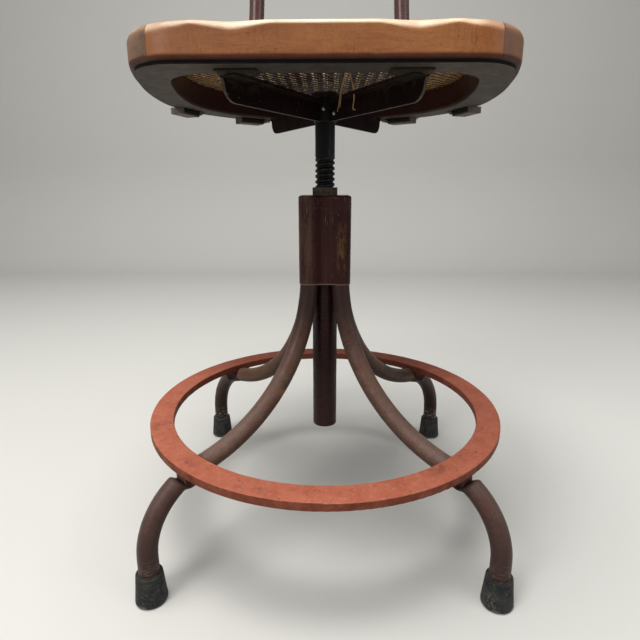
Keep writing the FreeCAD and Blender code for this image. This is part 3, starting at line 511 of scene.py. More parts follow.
def addRingTones(nodes, place, colour):
    # chalky red, grimy with painted shade on its upright faces, painted shade under the seat behind, rubbed
    # dark where shoes rest
    pale = nodes.patches(place, 120, 0.52, 0.66, 5, 0.7)
    tones = [((204, 140, 114), pale, 0.35)]
    scuffs = nodes.patches(place, 60, 0.5, 0.6, 6, 0.75)
    for x, y, reach in ringLook["shoes"]:
        away = nodes.fromPoint(place, (x, y, ringLook["topZ"]))
        near = nodes.remap(away, reach * 0.2, reach, 1, 0, smooth=True)
        tones.append((ringLook["worn"], near, scuffs, 0.65))
    dust = nodes.placed(specks, place, Scale=800.0, Share=0.06, Gather=25.0)["Mask"]
    # painted shade on the rear part, under the seat
    rear = nodes.remap(nodes.split(place)[1], 0.05, 0.19, smooth=True)
    # grime and painted shade on the upright faces, which the top light reaches less
    upright = nodes.remap(nodes.placed(facing, place)["Up"], 0.75, 0.35)
    grimeAndShade = nodes.patches(place, 70, 0.36, 0.62, 5, 0.7, least=0.65, most=1.0)
    return nodes.layers(colour, tones + [
        ((216, 186, 168), dust, 0.6),
        ((96, 46, 34), rear, 0.7),
        ((100, 50, 33), upright, grimeAndShade, 0.95)])


# the dark paint is painted shade in the crush under the ring
saddleLook = {
    "paint": (44, 30, 26), "dark": (22, 16, 15), "worn": (96, 70, 56), "darkShare": 0.8, "cloud": 80,
    "contrast": 0.1, "specks": 0.1, "rough": 0.65, "grit": 0.6, "lipZ": 0.1372}


def addSaddleTones(nodes, place, colour):
    # the neck in the crush is brown outside and dark towards the hub, as painted shade under the ring, the
    # lip is dull red
    out = nodes.remap(nodes.placed(facing, place)["Out"], -0.3, 0.5)
    front = nodes.remap(nodes.split(place)[1], 0.02, -0.02)
    colour = nodes.layers(colour, [((112, 82, 70), out, front, 0.85)])
    isLip = nodes.remap(nodes.split(place)[2], saddleLook["lipZ"], saddleLook["lipZ"] + 0.0006)
    blotches = nodes.patches(place, 90, 0.35, 0.6, 5, 0.7)
    return nodes.mix(isLip, colour, nodes.blend(blotches, (132, 76, 60), (92, 52, 42)))


plateLook = {
    "paint": (93, 87, 80), "dark": (70, 64, 59), "worn": (124, 116, 104), "cloud": 26, "specks": 0.08,
    "speckScale": 420, "edges": 0.35, "gloss": 0.1, "rough": 0.65, "grit": 0.5,
    "nails": [(-0.174, -0.108), (0.174, -0.108), (-0.17, 0.05), (0.17, 0.05)]}


def addPlateTones(nodes, place, colour):
    # dull warm grey, painted shade near black on its outer edge under the wood, brown stains in front and
    # painted shade between the front arms, with dark nail spots
    x, y, z = nodes.split(place)
    sideways = nodes.size(x)
    facings = nodes.placed(facing, place)
    stain = nodes.patches(place, 26, 0.42, 0.6, 5, 0.7)
    front = nodes.times(nodes.remap(y, -0.15, -0.168), nodes.remap(sideways, 0.15, 0.1))
    # painted shade between the front arms
    centreShade = nodes.times(nodes.remap(y, -0.13, -0.15), nodes.remap(sideways, 0.115, 0.06, smooth=True))
    tones = [((66, 46, 34), stain, front, 0.5), ((38, 32, 24), centreShade, 0.75)]
    for nail in plateLook["nails"]:
        away = nodes.fromPoint(nodes.stretch(place, 1, 1, 0), (*nail, 0))
        tones.append(((22, 20, 19), nodes.remap(away, 0.0016, 0.0026, 0.8, 0)))
    # painted shade: the outer edge under the wood overhang is near black
    upright = nodes.remap(nodes.size(facings["Up"]), 0.6, 0.4)
    outward = nodes.remap(facings["Out"], -0.1, 0.1)
    return nodes.layers(colour, tones + [((6, 1, 0), upright, outward)])


clipLook = {
    "paint": (118, 110, 100), "dark": (88, 81, 73), "worn": (92, 86, 80), "cloud": 50, "contrast": 0.12,
    "specks": 0.1, "edges": 0.6, "grit": 0.5}

armLook = {
    "paint": (28, 14, 13), "dark": (14, 9, 9), "worn": (92, 84, 78), "cloud": 24, "specks": 0.04,
    "speckScale": 420, "edges": 0.35, "gloss": 0.06, "footZ": 0.5275, "footFrom": 0.148}


def addArmTones(nodes, place, colour):
    # near black maroon webs, brown and rubbed on the riveted feet, a bare grey sheet edge
    x, y, z = nodes.split(place)
    facings = nodes.placed(facing, place)
    reach = nodes.fromAxis(place)
    streaks = nodes.patches(place, (160, 160, 12), 0.5, 0.7, 4, 0.6)
    right = nodes.remap(x, 0.0, 0.03)
    rubbed = nodes.times(nodes.patches(place, 75, 0.46, 0.58, 5, 0.7), nodes.remap(z, 0.518, 0.526))
    outer = nodes.remap(reach, 0.1, 0.14)
    colour = nodes.layers(colour, [
        ((50, 32, 32), streaks, right, 0.4),
        ((80, 68, 58), rubbed, outer, 0.35)])
    footZ, footFrom = armLook["footZ"], armLook["footFrom"]
    foot = nodes.times(nodes.remap(z, footZ, footZ + 0.001), nodes.remap(reach, footFrom, footFrom + 0.006))
    brown = nodes.blend(nodes.patches(place, 60, 0.4, 0.6, 5, 0.7), (46, 40, 34), (30, 24, 20))
    colour = nodes.mix(foot, colour, brown)
    end = nodes.times(nodes.remap(facings["Out"], 0.35, 0.5), nodes.remap(z, footZ + 0.001, footZ))
    lower = nodes.times(nodes.remap(facings["Up"], -0.55, -0.75), nodes.remap(z, 0.526, 0.524))
    edge = nodes.math("MAXIMUM", end, lower)
    grey = nodes.blend(nodes.patches(place, 200, 0.35, 0.65), (112, 106, 100), (78, 70, 64))
    return nodes.mix(nodes.times(edge, 0.85), colour, grey)


bossLook = {
    "paint": (15, 13, 13), "dark": (8, 8, 8), "worn": (60, 54, 50), "darkShare": 0.6, "cloud": 40,
    "rough": 0.55, "grit": 0.4, "collarZ": 0.5353}


def addBossTones(nodes, place, colour):
    # black, with a maroon collar at the top
    collar = nodes.remap(nodes.split(place)[2], bossLook["collarZ"] - 0.0003, bossLook["collarZ"] + 0.0003)
    return nodes.layers(colour, [((26, 12, 9), collar)])


spindleLook = {
    "paint": (11, 12, 13), "dark": (6, 6, 7), "worn": (58, 58, 58), "darkShare": 0.6, "cloud": 60,
    "specks": 0.04, "speckScale": 600, "edges": 0.2, "gloss": 0.12, "rough": 0.34,
    "grooveReach": 0.0103, "crestReach": 0.0119, "threadTop": 0.468}


def addSpindleTones(nodes, place, colour):
    # oiled black steel: the crests are rubbed, with painted glints, the grooves hold dirt
    reach = nodes.fromAxis(place)
    groove = nodes.remap(reach, spindleLook["grooveReach"] + 0.001, spindleLook["grooveReach"])
    crest = nodes.remap(reach, spindleLook["crestReach"] - 0.00015, spindleLook["crestReach"])
    threaded = nodes.remap(nodes.split(place)[2], spindleLook["threadTop"] + 0.006, spindleLook["threadTop"])
    # rubbed crests that also carry painted glints
    rubbed = nodes.patches(place, 260, 0.42, 0.6)
    return nodes.layers(colour, [
        (spindleLook["dark"], groove),
        (spindleLook["worn"], crest, threaded, rubbed, 0.6)])


nutLook = {
    "paint": (84, 70, 56), "dark": (34, 27, 23), "worn": (104, 88, 72), "darkShare": 0.85, "cloud": 200,
    "contrast": 0.08, "specks": 0.2, "speckScale": 700, "edges": 0.5, "gloss": 0.2, "rough": 0.55,
    "grit": 0.6}


def bareSteel(name, light, dark):
    material, nodes, shader, place = newMaterial(name, Metallic=0.85)
    tone = nodes.blend(nodes.patches(place, 300, 0.35, 0.65), light, dark)
    edges = nodes.placed(edgeWear, place, Radius=0.0006, Amount=0.6)["Mask"]
    colour = nodes.layers(tone, [((190, 186, 178), edges)])
    rough = nodes.patches(place, 500, 0.3, 0.7, 3, least=0.32, most=0.55)
    nodes.finish(shader, colour, rough, nodes.noise(place, 1400, 3), 0.2, 0.0002)
    return material


legPaint = paintedSteel("legPaint", legLook, addLegTones)
hubPaint = paintedSteel("hubPaint", hubLook, addHubTones)
postPaint = paintedSteel("postPaint", postLook, addPostTones)
uprightPaint = paintedSteel("uprightPaint", uprightLook)
ringPaint = paintedSteel("ringPaint", ringLook, addRingTones)
saddleShadeAndPaint = paintedSteel("saddleShadeAndPaint", saddleLook, addSaddleTones)
platePaint = paintedSteel("platePaint", plateLook, addPlateTones)
clipPaint = paintedSteel("clipPaint", clipLook)
armPaint = paintedSteel("armPaint", armLook, addArmTones)
bossPaint = paintedSteel("bossPaint", bossLook, addBossTones)
spindleSteel = paintedSteel("spindleSteel", spindleLook, addSpindleTones)
nutSteel = paintedSteel("nutSteel", nutLook)
dullSteel = bareSteel("dullSteel", (150, 146, 140), (98, 92, 84))
paleScrew = bareSteel("paleScrew", (196, 190, 182), (150, 144, 136))
print("steel finishes ready")


# wood: "along" is the axis of its grain, "joint" the joints' distance from the middle, "bright" the tone of
# the worn top edge, which is partly a painted highlight, "inner" the tone of the wall towards the cane

usualWood = {"along": "x", "ticks": 0.3, "joint": None, "inner": (34, 14, 12), "floorZ": 0.534}
woodLooks = {
    "frontWood": {
        "light": (184, 120, 74), "dark": (140, 82, 48), "tint": (184, 122, 62), "pore": (84, 46, 26),
        "ticks": 0.6, "joint": 0.143, "bright": (252, 226, 192), "brightFrom": 0.15},
    "sideWood": {
        "light": (154, 122, 98), "dark": (116, 84, 62), "tint": (138, 98, 64), "pore": (70, 42, 28),
        "along": "y", "joint": 0.143, "inner": (48, 18, 12), "bright": (208, 172, 138), "brightFrom": 0.35},
    "rearWood": {
        "light": (160, 112, 76), "dark": (118, 76, 50), "tint": (150, 100, 64), "pore": (76, 46, 30),
        "bright": (214, 174, 134), "brightFrom": 0.4},
    "backWood": {
        "light": (182, 124, 80), "dark": (138, 86, 52), "tint": (176, 120, 70), "pore": (84, 50, 32),
        "inner": None, "bright": (214, 170, 126), "brightFrom": 0.45, "floorZ": 0.72}}


def addJointTones(nodes, x, joint, upper):
    # a dark line at each joint, amber near the right one, golden near the left one, shaded just beyond
    beside = nodes.minus(nodes.size(x), joint)
    line = nodes.remap(nodes.size(beside), 0.0003, 0.0009, 0.85, 0)
    rightward = nodes.remap(x, -0.01, 0.01, 0.45, 1)
    amber = nodes.remap(x, 0.112, 0.134, smooth=True)
    lessBeyond = nodes.remap(beside, -0.0004, 0.0004, 1, 0.7)
    golden = nodes.remap(x, -0.06, -0.12, smooth=True)
    shaded = nodes.remap(beside, 0.016, 0.001, smooth=True)
    return [
        ((44, 25, 17), line, rightward),
        ((152, 82, 28), amber, lessBeyond, upper, 0.6),
        ((132, 78, 36), golden, nodes.math("LESS_THAN", beside, 0.0), upper, 0.4),
        ((72, 52, 38), shaded, nodes.math("GREATER_THAN", beside, 0.0), 0.45)]


def varnishedWood(name, look):
    look = {**usualWood, **look}
    material, nodes, shader, place = newMaterial(name, 0.3, **{"Coat Weight": 0.08, "Coat Roughness": 0.3})
    x, y, z = nodes.split(place)
    turned = nodes.join(x, y, z) if look["along"] == "x" else nodes.join(y, x, z)
    facings = nodes.placed(facing, place)
    grain = nodes.placed(woodGrain, turned, Fineness=3.2)
    broad = nodes.patches(place, 9, 0.38, 0.62, 3, 0.6)
    fine = nodes.patches(turned, (500, 1100, 1100), 0.36, 0.64, 3, 0.7)
    patchy = nodes.patches(turned, (30, 90, 90), 0.3, 0.6, 4, 0.6, least=0.5, most=1.0)
    # a pale top edge on faces that look up: worn, and partly a painted highlight
    edge = nodes.remap(facings["Up"], look["brightFrom"], look["brightFrom"] + 0.3)
    stain = nodes.patches(turned, (26, 80, 80), 0.56, 0.7, 5, 0.7)
    lowEdge = nodes.remap(z, look["floorZ"] + 0.012, look["floorZ"] + 0.004)
    # painted shade: faces that turn down are darkened, near black right underneath
    turnedUnder = nodes.plus(facings["Up"], nodes.times(nodes.noise(turned, 60, 4, 0.6), 0.3), -0.15)
    below = nodes.remap(turnedUnder, -0.05, -0.5, smooth=True)
    tones = [
        (look["tint"], broad, 0.35),
        (look["pore"], grain["Pores"], 0.4),
        (look["pore"], grain["Ticks"], look["ticks"]),
        (look["pore"], fine, 0.22),
        (look["bright"], edge, patchy, 0.9),
        ((58, 34, 22), stain, lowEdge, 0.7),
        ((80, 26, 0), below, 0.92),
        ((20, 5, 1), nodes.remap(turnedUnder, -0.55, -0.95, 0, 0.95))]
    if look["joint"]:
        tones += addJointTones(nodes, x, look["joint"], nodes.minus(1.0, below))
    if look["inner"]:
        tones.append((look["inner"], nodes.remap(facings["Out"], -0.45, -0.6)))
    colour = nodes.layers(nodes.blend(grain["Bands"], look["light"], look["dark"]), tones)
    rough = nodes.patches(place, 45, 0.3, 0.7, least=0.32, most=0.48)
    rough = nodes.plus(nodes.times(grain["Pores"], 0.2), nodes.times(below, 0.25), rough)
    height = nodes.plus(nodes.times(grain["Pores"], -1.0), nodes.times(grain["Ticks"], -0.3))
    nodes.finish(shader, colour, rough, height, 0.25, 0.0003)
    return material


woods = {name: varnishedWood(name, look) for name, look in woodLooks.items()}
print("wood finishes ready")


# rubber and cane

rubber = {"light": (60, 59, 57), "dark": (34, 36, 38), "pale": (150, 147, 138),
          "scuffed": (0.17, -0.205, 0.014)}


def makeCapRubber():
    # old black rubber, scraped here and there, pale along its rims and scuffed on the right front one
    material, nodes, shader, place = newMaterial("capRubber", 0.2)
    height = nodes.split(place)[2]
    tone = nodes.blend(nodes.patches(place, 70, 0.4, 0.66, 5, 0.65), rubber["dark"], rubber["light"])
    spots = nodes.placed(specks, place, Scale=450.0, Share=0.12)["Mask"]
    scraped = nodes.patches(place, (160, 160, 420), 0.58, 0.68, 5, 0.7)
    edges = nodes.placed(edgeWear, place, Radius=0.0012, Amount=0.9)["Mask"]
    foot = nodes.times(nodes.remap(height, 0.0055, 0.003), nodes.patches(place, 90, 0.45, 0.6))
    scuffs = nodes.patches(place, (280, 280, 360), 0.52, 0.6, 5, 0.75)
    near = nodes.remap(nodes.fromPoint(place, rubber["scuffed"]), 0.007, 0.015, 1.1, 0)
    pale = nodes.math("MAXIMUM", nodes.plus(nodes.times(spots, 0.5), nodes.times(scraped, 0.3)), edges)
    pale = nodes.math("MAXIMUM", pale, nodes.times(foot, 0.7), clamp=True)
    pale = nodes.math("MAXIMUM", pale, nodes.times(scuffs, near))
    colour = nodes.layers(tone, [(rubber["pale"], pale, 0.6)])
    rough = nodes.patches(place, 120, 0.3, 0.7, 3, least=0.55, most=0.78)
    nodes.finish(shader, colour, rough, nodes.noise(place, 900, 3), 0.3, 0.0003)
    return material


def makeCaneFibre(name, light, deep, dirtAndShade):
    # golden, brown with dirt and painted shade in the gaps; from below painted shade in the middle, with
    # pale specks of painted light showing through the weave
    material, nodes, shader, place = newMaterial(name, 0.35)
    up = nodes.placed(facing, place)["Up"]
    broad = nodes.patches(place, 60, 0.36, 0.64, 4, 0.65)
    fibre = nodes.patches(place, 900, 0.48, 0.66, 2)
    middle = nodes.fromPoint(nodes.stretch(place, 1.15, 1, 0), (0, 0.02, 0))
    # painted shade in the middle, from below
    middleShade = nodes.remap(middle, 0.1, 0.145, 1, 0, smooth=True)
    below = nodes.remap(up, 0.2, -0.2)
    # dirt and painted shade on the strands' side walls in the gaps
    gaps = nodes.remap(nodes.size(up), 0.85, 0.5)
    # pale specks from below: painted light showing through the weave
    pale = nodes.placed(specks, place, Scale=420.0, Share=0.25, Gather=50.0)["Mask"]
    colour = nodes.layers(nodes.blend(broad, light, deep), [
        ((112, 74, 40), fibre, 0.45),
        ((126, 88, 42), below, dirtAndShade, 0.4),
        ((40, 22, 15), middleShade, below, dirtAndShade),
        ((40, 22, 13), gaps, dirtAndShade),
        ((236, 220, 184), pale, below, 0.7)])
    rough = nodes.patches(place, 400, 0.3, 0.7, 2, least=0.35, most=0.6)
    nodes.finish(shader, colour, rough, fibre, 0.3, 0.0002)
    return material


capRubber = makeCapRubber()
caneFibre = makeCaneFibre("caneFibre", (212, 176, 116), (172, 126, 70), 0.95)
looseFibre = makeCaneFibre("looseFibre", (216, 184, 128), (176, 140, 88), 0.1)
print("rubber and cane finishes ready")


# finishes for the solids that stay

corners = ["front_left", "front_right", "rear_left", "rear_right"]
finishes = [
    (legPaint, ["leg_" + corner for corner in corners]),
    (ringPaint, ["foot_ring"]),
    (saddleShadeAndPaint, ["ring_saddle_" + corner for corner in corners]),
    (capRubber, ["foot_cap_" + corner for corner in corners] + ["upright_plugs"]),
    (hubPaint, ["hub_sleeve"]),
    (postPaint, ["post_tube"]),
    (nutSteel, ["spindle_nut"]),
    (uprightPaint, ["upright_left", "upright_right"]),
    (platePaint, ["seat_ring", "spider_rivets"]),
    (clipPaint, ["clip_outer_left", "clip_outer_right", "clip_inner_left", "clip_inner_right"]),
    (armPaint, ["spider_arm_" + corner for corner in corners]),
    (bossPaint, ["spider_boss"]),
    (dullSteel, ["cap_washers", "stop_washer", "spindle_tip_nut", "seat_screws", "back_bolts", "back_nuts"]),
    (paleScrew, ["boss_screws"]),
    (woods["frontWood"], ["seat_rail_front"]),
    (woods["sideWood"], ["seat_rail_left", "seat_rail_right"]),
    (woods["rearWood"], ["seat_rail_rear", "rail_dowels"]),
    (woods["backWood"], ["back_board"]),
    (looseFibre, ["cane_spline"]),
]
for material, names in finishes:
    for name in names:
        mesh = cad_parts[name].data
        mesh.materials.clear()
        mesh.materials.append(material)
print("finishes laid on", sum(len(names) for material, names in finishes), "nodes")


# the screw spindle

screw = {
    "Radius": 0.0119, "Root": 0.01, "Pitch": 0.00635, "Thread Top": 0.471, "Thread Bottom": 0.2872,
    "Run Out": 0.006, "Run In": 0.002, "Tip Radius": 0.006, "Chamfer": 0.001, "Row": 0.0006, "Around": 48}


def buildSpindleTree(material):
    # a grid wound into a rod, its radius following a right-hand thread with rounded crests
    tree, nodes, given, result = newGroup(
        "threadedRod", "GeometryNodeTree", {**screw, "Low": 0.0, "High": 1.0}, "Geometry")
    low, high, root, outer = given["Low"], given["High"], given["Root"], given["Radius"]
    rows = nodes.plus(nodes.math("CEIL", nodes.over(nodes.minus(high, low), given["Row"])), 3.0)
    columns = nodes.plus(given["Around"], 1.0)
    grid = nodes.grow("MeshGrid", {"Size X": 1.0, "Size Y": 1.0, "Vertices X": columns, "Vertices Y": rows})
    u, v, flat = nodes.split(nodes.grow("InputPosition"))
    row = nodes.times(nodes.plus(v, 0.5), nodes.minus(rows, 1.0))
    z = nodes.plus(low, nodes.times(nodes.minus(row, 1.0), given["Row"]))
    z = nodes.math("MINIMUM", nodes.math("MAXIMUM", z, low), high)
    wave = nodes.math("COSINE", nodes.times(nodes.minus(nodes.over(z, given["Pitch"]), u), 2 * math.pi))
    groove = nodes.minus(1.0, nodes.remap(wave, -0.75, 0.35, smooth=True))
    belowTop = nodes.over(nodes.minus(given["Thread Top"], z), given["Run Out"])
    aboveBottom = nodes.over(nodes.minus(z, given["Thread Bottom"]), given["Run In"])
    fade = nodes.math("MULTIPLY", nodes.math("MINIMUM", belowTop, aboveBottom), 1.0, clamp=True)
    radius = nodes.minus(outer, nodes.times(nodes.minus(outer, root), groove, fade))
    radius = nodes.math("MINIMUM", radius, nodes.plus(root, nodes.times(aboveBottom, given["Run In"])))
    isTip = nodes.math("LESS_THAN", z, given["Thread Bottom"])
    radius = nodes.times(nodes.minus(1.0, isTip), radius)
    radius = nodes.plus(nodes.times(isTip, given["Tip Radius"]), radius)
    for full, fromEnd in ((given["Tip Radius"], nodes.minus(z, low)), (outer, nodes.minus(high, z))):
        cut = nodes.plus(nodes.minus(full, given["Chamfer"]), fromEnd)
        radius = nodes.math("MINIMUM", radius, cut)
    # the first and last rows close the ends
    notFirst = nodes.math("GREATER_THAN", row, 0.5)
    notLast = nodes.math("LESS_THAN", row, nodes.minus(rows, 1.5))
    radius = nodes.times(radius, nodes.times(notFirst, notLast))
    angle = nodes.times(u, 2 * math.pi)
    place = nodes.join(nodes.times(radius, nodes.math("COSINE", angle)),
                       nodes.times(radius, nodes.math("SINE", angle)), z)
    rod = nodes.grow("SetPosition", {"Geometry": grid, "Position": place})
    rod = nodes.grow("MergeByDistance", {"Geometry": rod, "Distance": 0.00001})
    rod = nodes.grow("SetShadeSmooth", {"Geometry": rod})
    finishGrower(nodes, result, rod, material)
    return tree


low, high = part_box("spindle")
ends = {"Low": low[2], "High": high[2]}
spindle = grownMesh("threadedSpindle", buildSpindleTree(spindleSteel), {**screw, **ends})
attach(spindle, "seat")
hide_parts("spindle")


# the cane seat

cane = {"Lines": 30, "Pitch": 0.0127, "Pair Gap": 0.0033, "Width": 0.0028, "Thick": 0.0019, "Lift": 0.0012,
        "Sag": 0.004, "Sag Reach": 0.16, "Uneven": 0.003, "Height": 0.5614,
        "Rear": 0.161, "Front": 0.156, "Side": 0.480, "Corner": 0.050, "Lap": 0.0115}


def outsideOpening(nodes, given, x, y):
    # above zero outside the frame's opening: round rear, bowed sides, round front corners, straight front
    rear, front, side, corner = [nodes.plus(given[label], given["Lap"])
                                 for label in ("Rear", "Front", "Side", "Corner")]
    x = nodes.size(x)

    def beyond(centreX, centreY, radius):
        away = nodes.join(nodes.minus(x, centreX), nodes.minus(y, centreY), 0.0)
        return nodes.minus(nodes.vector("LENGTH", away), radius)

    sideCentre = nodes.minus(rear, side)
    cornerY = nodes.minus(corner, front)
    reach = nodes.minus(side, corner)
    inset = nodes.minus(nodes.times(reach, reach), nodes.times(cornerY, cornerY))
    cornerX = nodes.plus(sideCentre, nodes.math("SQRT", inset))
    inCorner = nodes.times(nodes.math("LESS_THAN", y, cornerY), nodes.math("GREATER_THAN", x, cornerX))
    atCorner = nodes.minus(nodes.times(nodes.plus(beyond(cornerX, cornerY, corner), 1.0), inCorner), 1.0)
    ahead = nodes.math("MAXIMUM", nodes.minus(nodes.times(front, -1.0), y), atCorner)
    ahead = nodes.math("MAXIMUM", ahead, beyond(sideCentre, 0.0, side))
    isRear = nodes.math("GREATER_THAN", y, 0.0)
    behind = beyond(0.0, 0.0, rear)
    return nodes.plus(nodes.times(isRear, behind), nodes.times(nodes.minus(1.0, isRear), ahead))


def buildCaneTree(material):
    # six sets of strands: a pair front to back, a pair side to side, and two slants, cut to the frame
    tree, nodes, given, result = newGroup("sixWayCane", "GeometryNodeTree", cane, "Geometry")
    pitch = given["Pitch"]
    half = nodes.times(nodes.minus(given["Lines"], 1.0), 0.5, pitch)
    joined = nodes.add("GeometryNodeJoinGeometry")

    def strands(turn, shift, wave, count, spacing, along):
        # straight strands along y at even spacing, waved up and down, then turned into their direction
        first = nodes.plus(nodes.times(spacing, nodes.minus(count, 1.0), -0.5), shift)
        starts = nodes.grow("MeshLine", {"Count": count, "Start Location": nodes.join(first, 0.0, 0.0),
                                         "Offset": nodes.join(spacing, 0.0, 0.0)})
        reach = nodes.times(along, nodes.math("CEIL", nodes.over(nodes.times(half, 1.5), along)))
        line = nodes.grow("CurvePrimitiveLine", {"Start": nodes.join(0.0, nodes.times(reach, -1.0), 0.0),
                                                 "End": nodes.join(0.0, reach, 0.0)})
        steps = nodes.plus(nodes.over(nodes.times(reach, 2.0), along), 1.0)
        line = nodes.grow("ResampleCurve", {"Curve": line, "Count": steps})
        rows = nodes.grow("InstanceOnPoints", {"Points": starts, "Instance": line})
        rows = nodes.grow("RealizeInstances", {"Geometry": rows})
        rows = nodes.grow("SetPosition", {"Geometry": rows, "Offset": nodes.join(0.0, 0.0, wave)})
        rows = nodes.grow("Transform", {"Geometry": rows, "Rotation": (0, 0, turn)})
        nodes.tree.links.new(rows, joined.inputs[0])

    atY = nodes.split(nodes.grow("InputPosition"))[1]
    swing = nodes.times(nodes.math("SINE", nodes.over(nodes.times(atY, 2 * math.pi), pitch)), given["Lift"])
    quarter = nodes.times(pitch, 0.25)
    for sign in (1, -1):
        shift = nodes.times(given["Pair Gap"], 0.5 * sign)
        for turn in (0, math.pi / 2):
            strands(turn, shift, nodes.times(swing, sign), given["Lines"], pitch, quarter)
    slantSpacing = nodes.times(pitch, math.sqrt(0.5))
    slantCount = nodes.plus(nodes.times(given["Lines"], 2.0), -1.0)
    for sign in (1, -1):
        rise = nodes.times(given["Thick"], 0.95 * sign)
        strands(math.pi / 4 * sign, 0.0, rise, slantCount, slantSpacing, nodes.times(slantSpacing, 0.5))

    x, y, z = nodes.split(nodes.grow("InputPosition"))
    outside = nodes.math("GREATER_THAN", outsideOpening(nodes, given, x, y), 0.0)
    net = nodes.grow("DeleteGeometry", {"Geometry": joined.outputs[0], "Selection": outside})
    away = nodes.plus(nodes.times(x, x), nodes.times(y, y))
    away = nodes.over(away, nodes.times(given["Sag Reach"], given["Sag Reach"]))
    bowl = nodes.math("MAXIMUM", nodes.minus(1.0, away), 0.0)
    sunk = nodes.minus(given["Height"], nodes.times(bowl, given["Sag"]))
    net = nodes.grow("SetPosition", {"Geometry": net, "Offset": nodes.join(0.0, 0.0, sunk)})
    # worn strands lie a little askew
    spot = nodes.stretch(nodes.grow("InputPosition"), 1, 1, 60)
    stray = nodes.add("ShaderNodeTexNoise", {"Vector": spot, "Scale": 110.0, "Detail": 1.0}).outputs["Color"]
    stray = nodes.vector("SUBTRACT", stray, (0.5, 0.5, 0.5))
    stray = nodes.vector("MULTIPLY", stray, nodes.join(given["Uneven"], given["Uneven"], 0.0))
    net = nodes.grow("SetPosition", {"Geometry": net, "Offset": stray})
    net = nodes.grow("SetCurveNormal", {"Curve": net}, mode="Z_UP")
    circle = nodes.grow("CurvePrimitiveCircle", {"Resolution": 6, "Radius": 0.5})
    flat = nodes.join(given["Width"], given["Thick"], 1.0)
    circle = nodes.grow("Transform", {"Geometry": circle, "Scale": flat})
    net = nodes.grow("CurveToMesh", {"Curve": net, "Profile Curve": circle, "Fill Caps": True})
    finishGrower(nodes, result, net, material)
    return tree


net = grownMesh("wovenCane", buildCaneTree(caneFibre), cane)
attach(net, "seat")
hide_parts("cane_sheet")


# the packing in the clips: a felt strip between each clip and the plate

packing = {
    # each clip: degrees from the side and how far out its middle is
    "clips": [(17.8, 0.1865), (54.0, 0.179)], "long": (-0.0228, 0.0092), "wide": (-0.0085, 0.0065),
    "high": (0.5262, 0.5312), "radius": 0.0012, "taper": 120,
    # rounded ends: shares of the radius in from the end and up
    "ends": [(0.0, 0.8), (0.5, 0.15), (1.0, 0.0)],
    "uneven": [(-0.012, 0.0004), (-0.004, 0.0), (0.003, 0.0003)]}


def makeFelt():
    material, nodes, shader, place = newMaterial("packingFelt", 0.05)
    colour = nodes.blend(nodes.patches(place, 500, 0.35, 0.65, 5, 0.7), (52, 48, 43), (74, 68, 60))
    nodes.finish(shader, colour, 0.95, nodes.noise(place, 1600, 4, 0.7), 0.6, 0.0004)
    return material


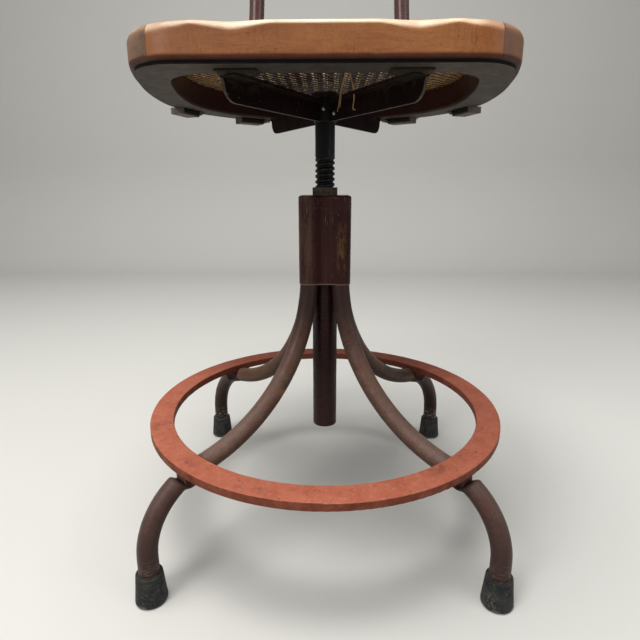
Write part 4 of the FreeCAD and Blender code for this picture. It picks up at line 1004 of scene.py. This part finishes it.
def packingStrips():
    # each strip: a bar with rounded edges, laid in its clip and turned with it, on both sides of the seat
    (low, high), (inner, outer), (floor, roof) = packing["long"], packing["wide"], packing["high"]
    radius, ends = packing["radius"], packing["ends"]
    middle = (inner + outer) / 2
    eased = radius * 0.3
    profile = [
        (inner, floor + radius), (inner + eased, floor + eased), (inner + radius, floor),
        (outer - radius, floor), (outer - eased, floor + eased), (outer, floor + radius),
        (outer, roof), (inner, roof)]
    rows = [(low + radius * along, radius * up) for along, up in ends] + packing["uneven"]
    rows += [(high - radius * along, radius * up) for along, up in reversed(ends)]
    count = len(profile)
    vertices, faces = [], []
    for degrees, reach in packing["clips"]:
        turn = math.radians(degrees)
        for side in (1, -1):
            first = len(vertices)
            for y, inset in rows:
                for x, z in profile:
                    across = reach + middle + (x - middle) * (1 - inset * packing["taper"])
                    vertices.append((side * (across * math.cos(turn) - y * math.sin(turn)),
                                     across * math.sin(turn) + y * math.cos(turn), max(z, floor + inset)))
            strip = [(first + row * count + index, first + row * count + (index + 1) % count)
                     for row in range(len(rows) - 1) for index in range(count)]
            strip = [(a, b, b + count, a + count) for a, b in strip]
            strip.append(tuple(range(first + count - 1, first - 1, -1)))
            strip.append(tuple(range(len(vertices) - count, len(vertices))))
            faces += [face if side > 0 else face[::-1] for face in strip]
    return vertices, faces


strips = plainMesh("clipPacking", *packingStrips(), makeFelt())
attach(strips, "seat")
print("clip packing laid")


# broken strand ends that hang through the frame

hanging = {"radius": 0.001, "thick": 1.1, "taper": 0.12, "runs": [
    [(0.0245, -0.074, 0.5592), (0.0217, -0.073, 0.5473), (0.0182, -0.072, 0.5370), (0.0163, -0.072, 0.5274),
     (0.0150, -0.0715, 0.5197), (0.0133, -0.071, 0.5115)],
    [(0.0235, -0.073, 0.5592), (0.0205, -0.072, 0.5440), (0.0168, -0.0715, 0.5300), (0.0165, -0.071, 0.5216),
     (0.0159, -0.0705, 0.5158)],
    [(0.0235, -0.074, 0.5592), (0.0258, -0.073, 0.5464), (0.0298, -0.072, 0.5360), (0.0309, -0.072, 0.5245),
     (0.0294, -0.0715, 0.5158), (0.0301, -0.071, 0.5128), (0.0324, -0.071, 0.5139)],
]}


def makeLooseStrands():
    curve = bpy.data.curves.new("looseStrands", "CURVE")
    curve.dimensions = "3D"
    curve.bevel_depth = hanging["radius"]
    curve.bevel_resolution = 2
    curve.use_fill_caps = True
    for run in hanging["runs"]:
        spline = curve.splines.new("NURBS")
        spline.points.add(len(run) - 1)
        for index, (point, place) in enumerate(zip(spline.points, run)):
            point.co = (*place, 1)
            point.radius = hanging["thick"] - hanging["taper"] * index
        spline.order_u = 3
        spline.use_endpoint_u = True
    carrier = bpy.data.objects.new("looseStrandLines", curve)
    scene.collection.objects.link(carrier)
    evaluated = carrier.evaluated_get(bpy.context.evaluated_depsgraph_get())
    mesh = bpy.data.meshes.new_from_object(evaluated)
    bpy.data.objects.remove(carrier)
    mesh.materials.clear()
    mesh.materials.append(looseFibre)
    obj = bpy.data.objects.new("looseStrands", mesh)
    scene.collection.objects.link(obj)
    return obj


strands = makeLooseStrands()
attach(strands, "seat")
print("loose strands hung")
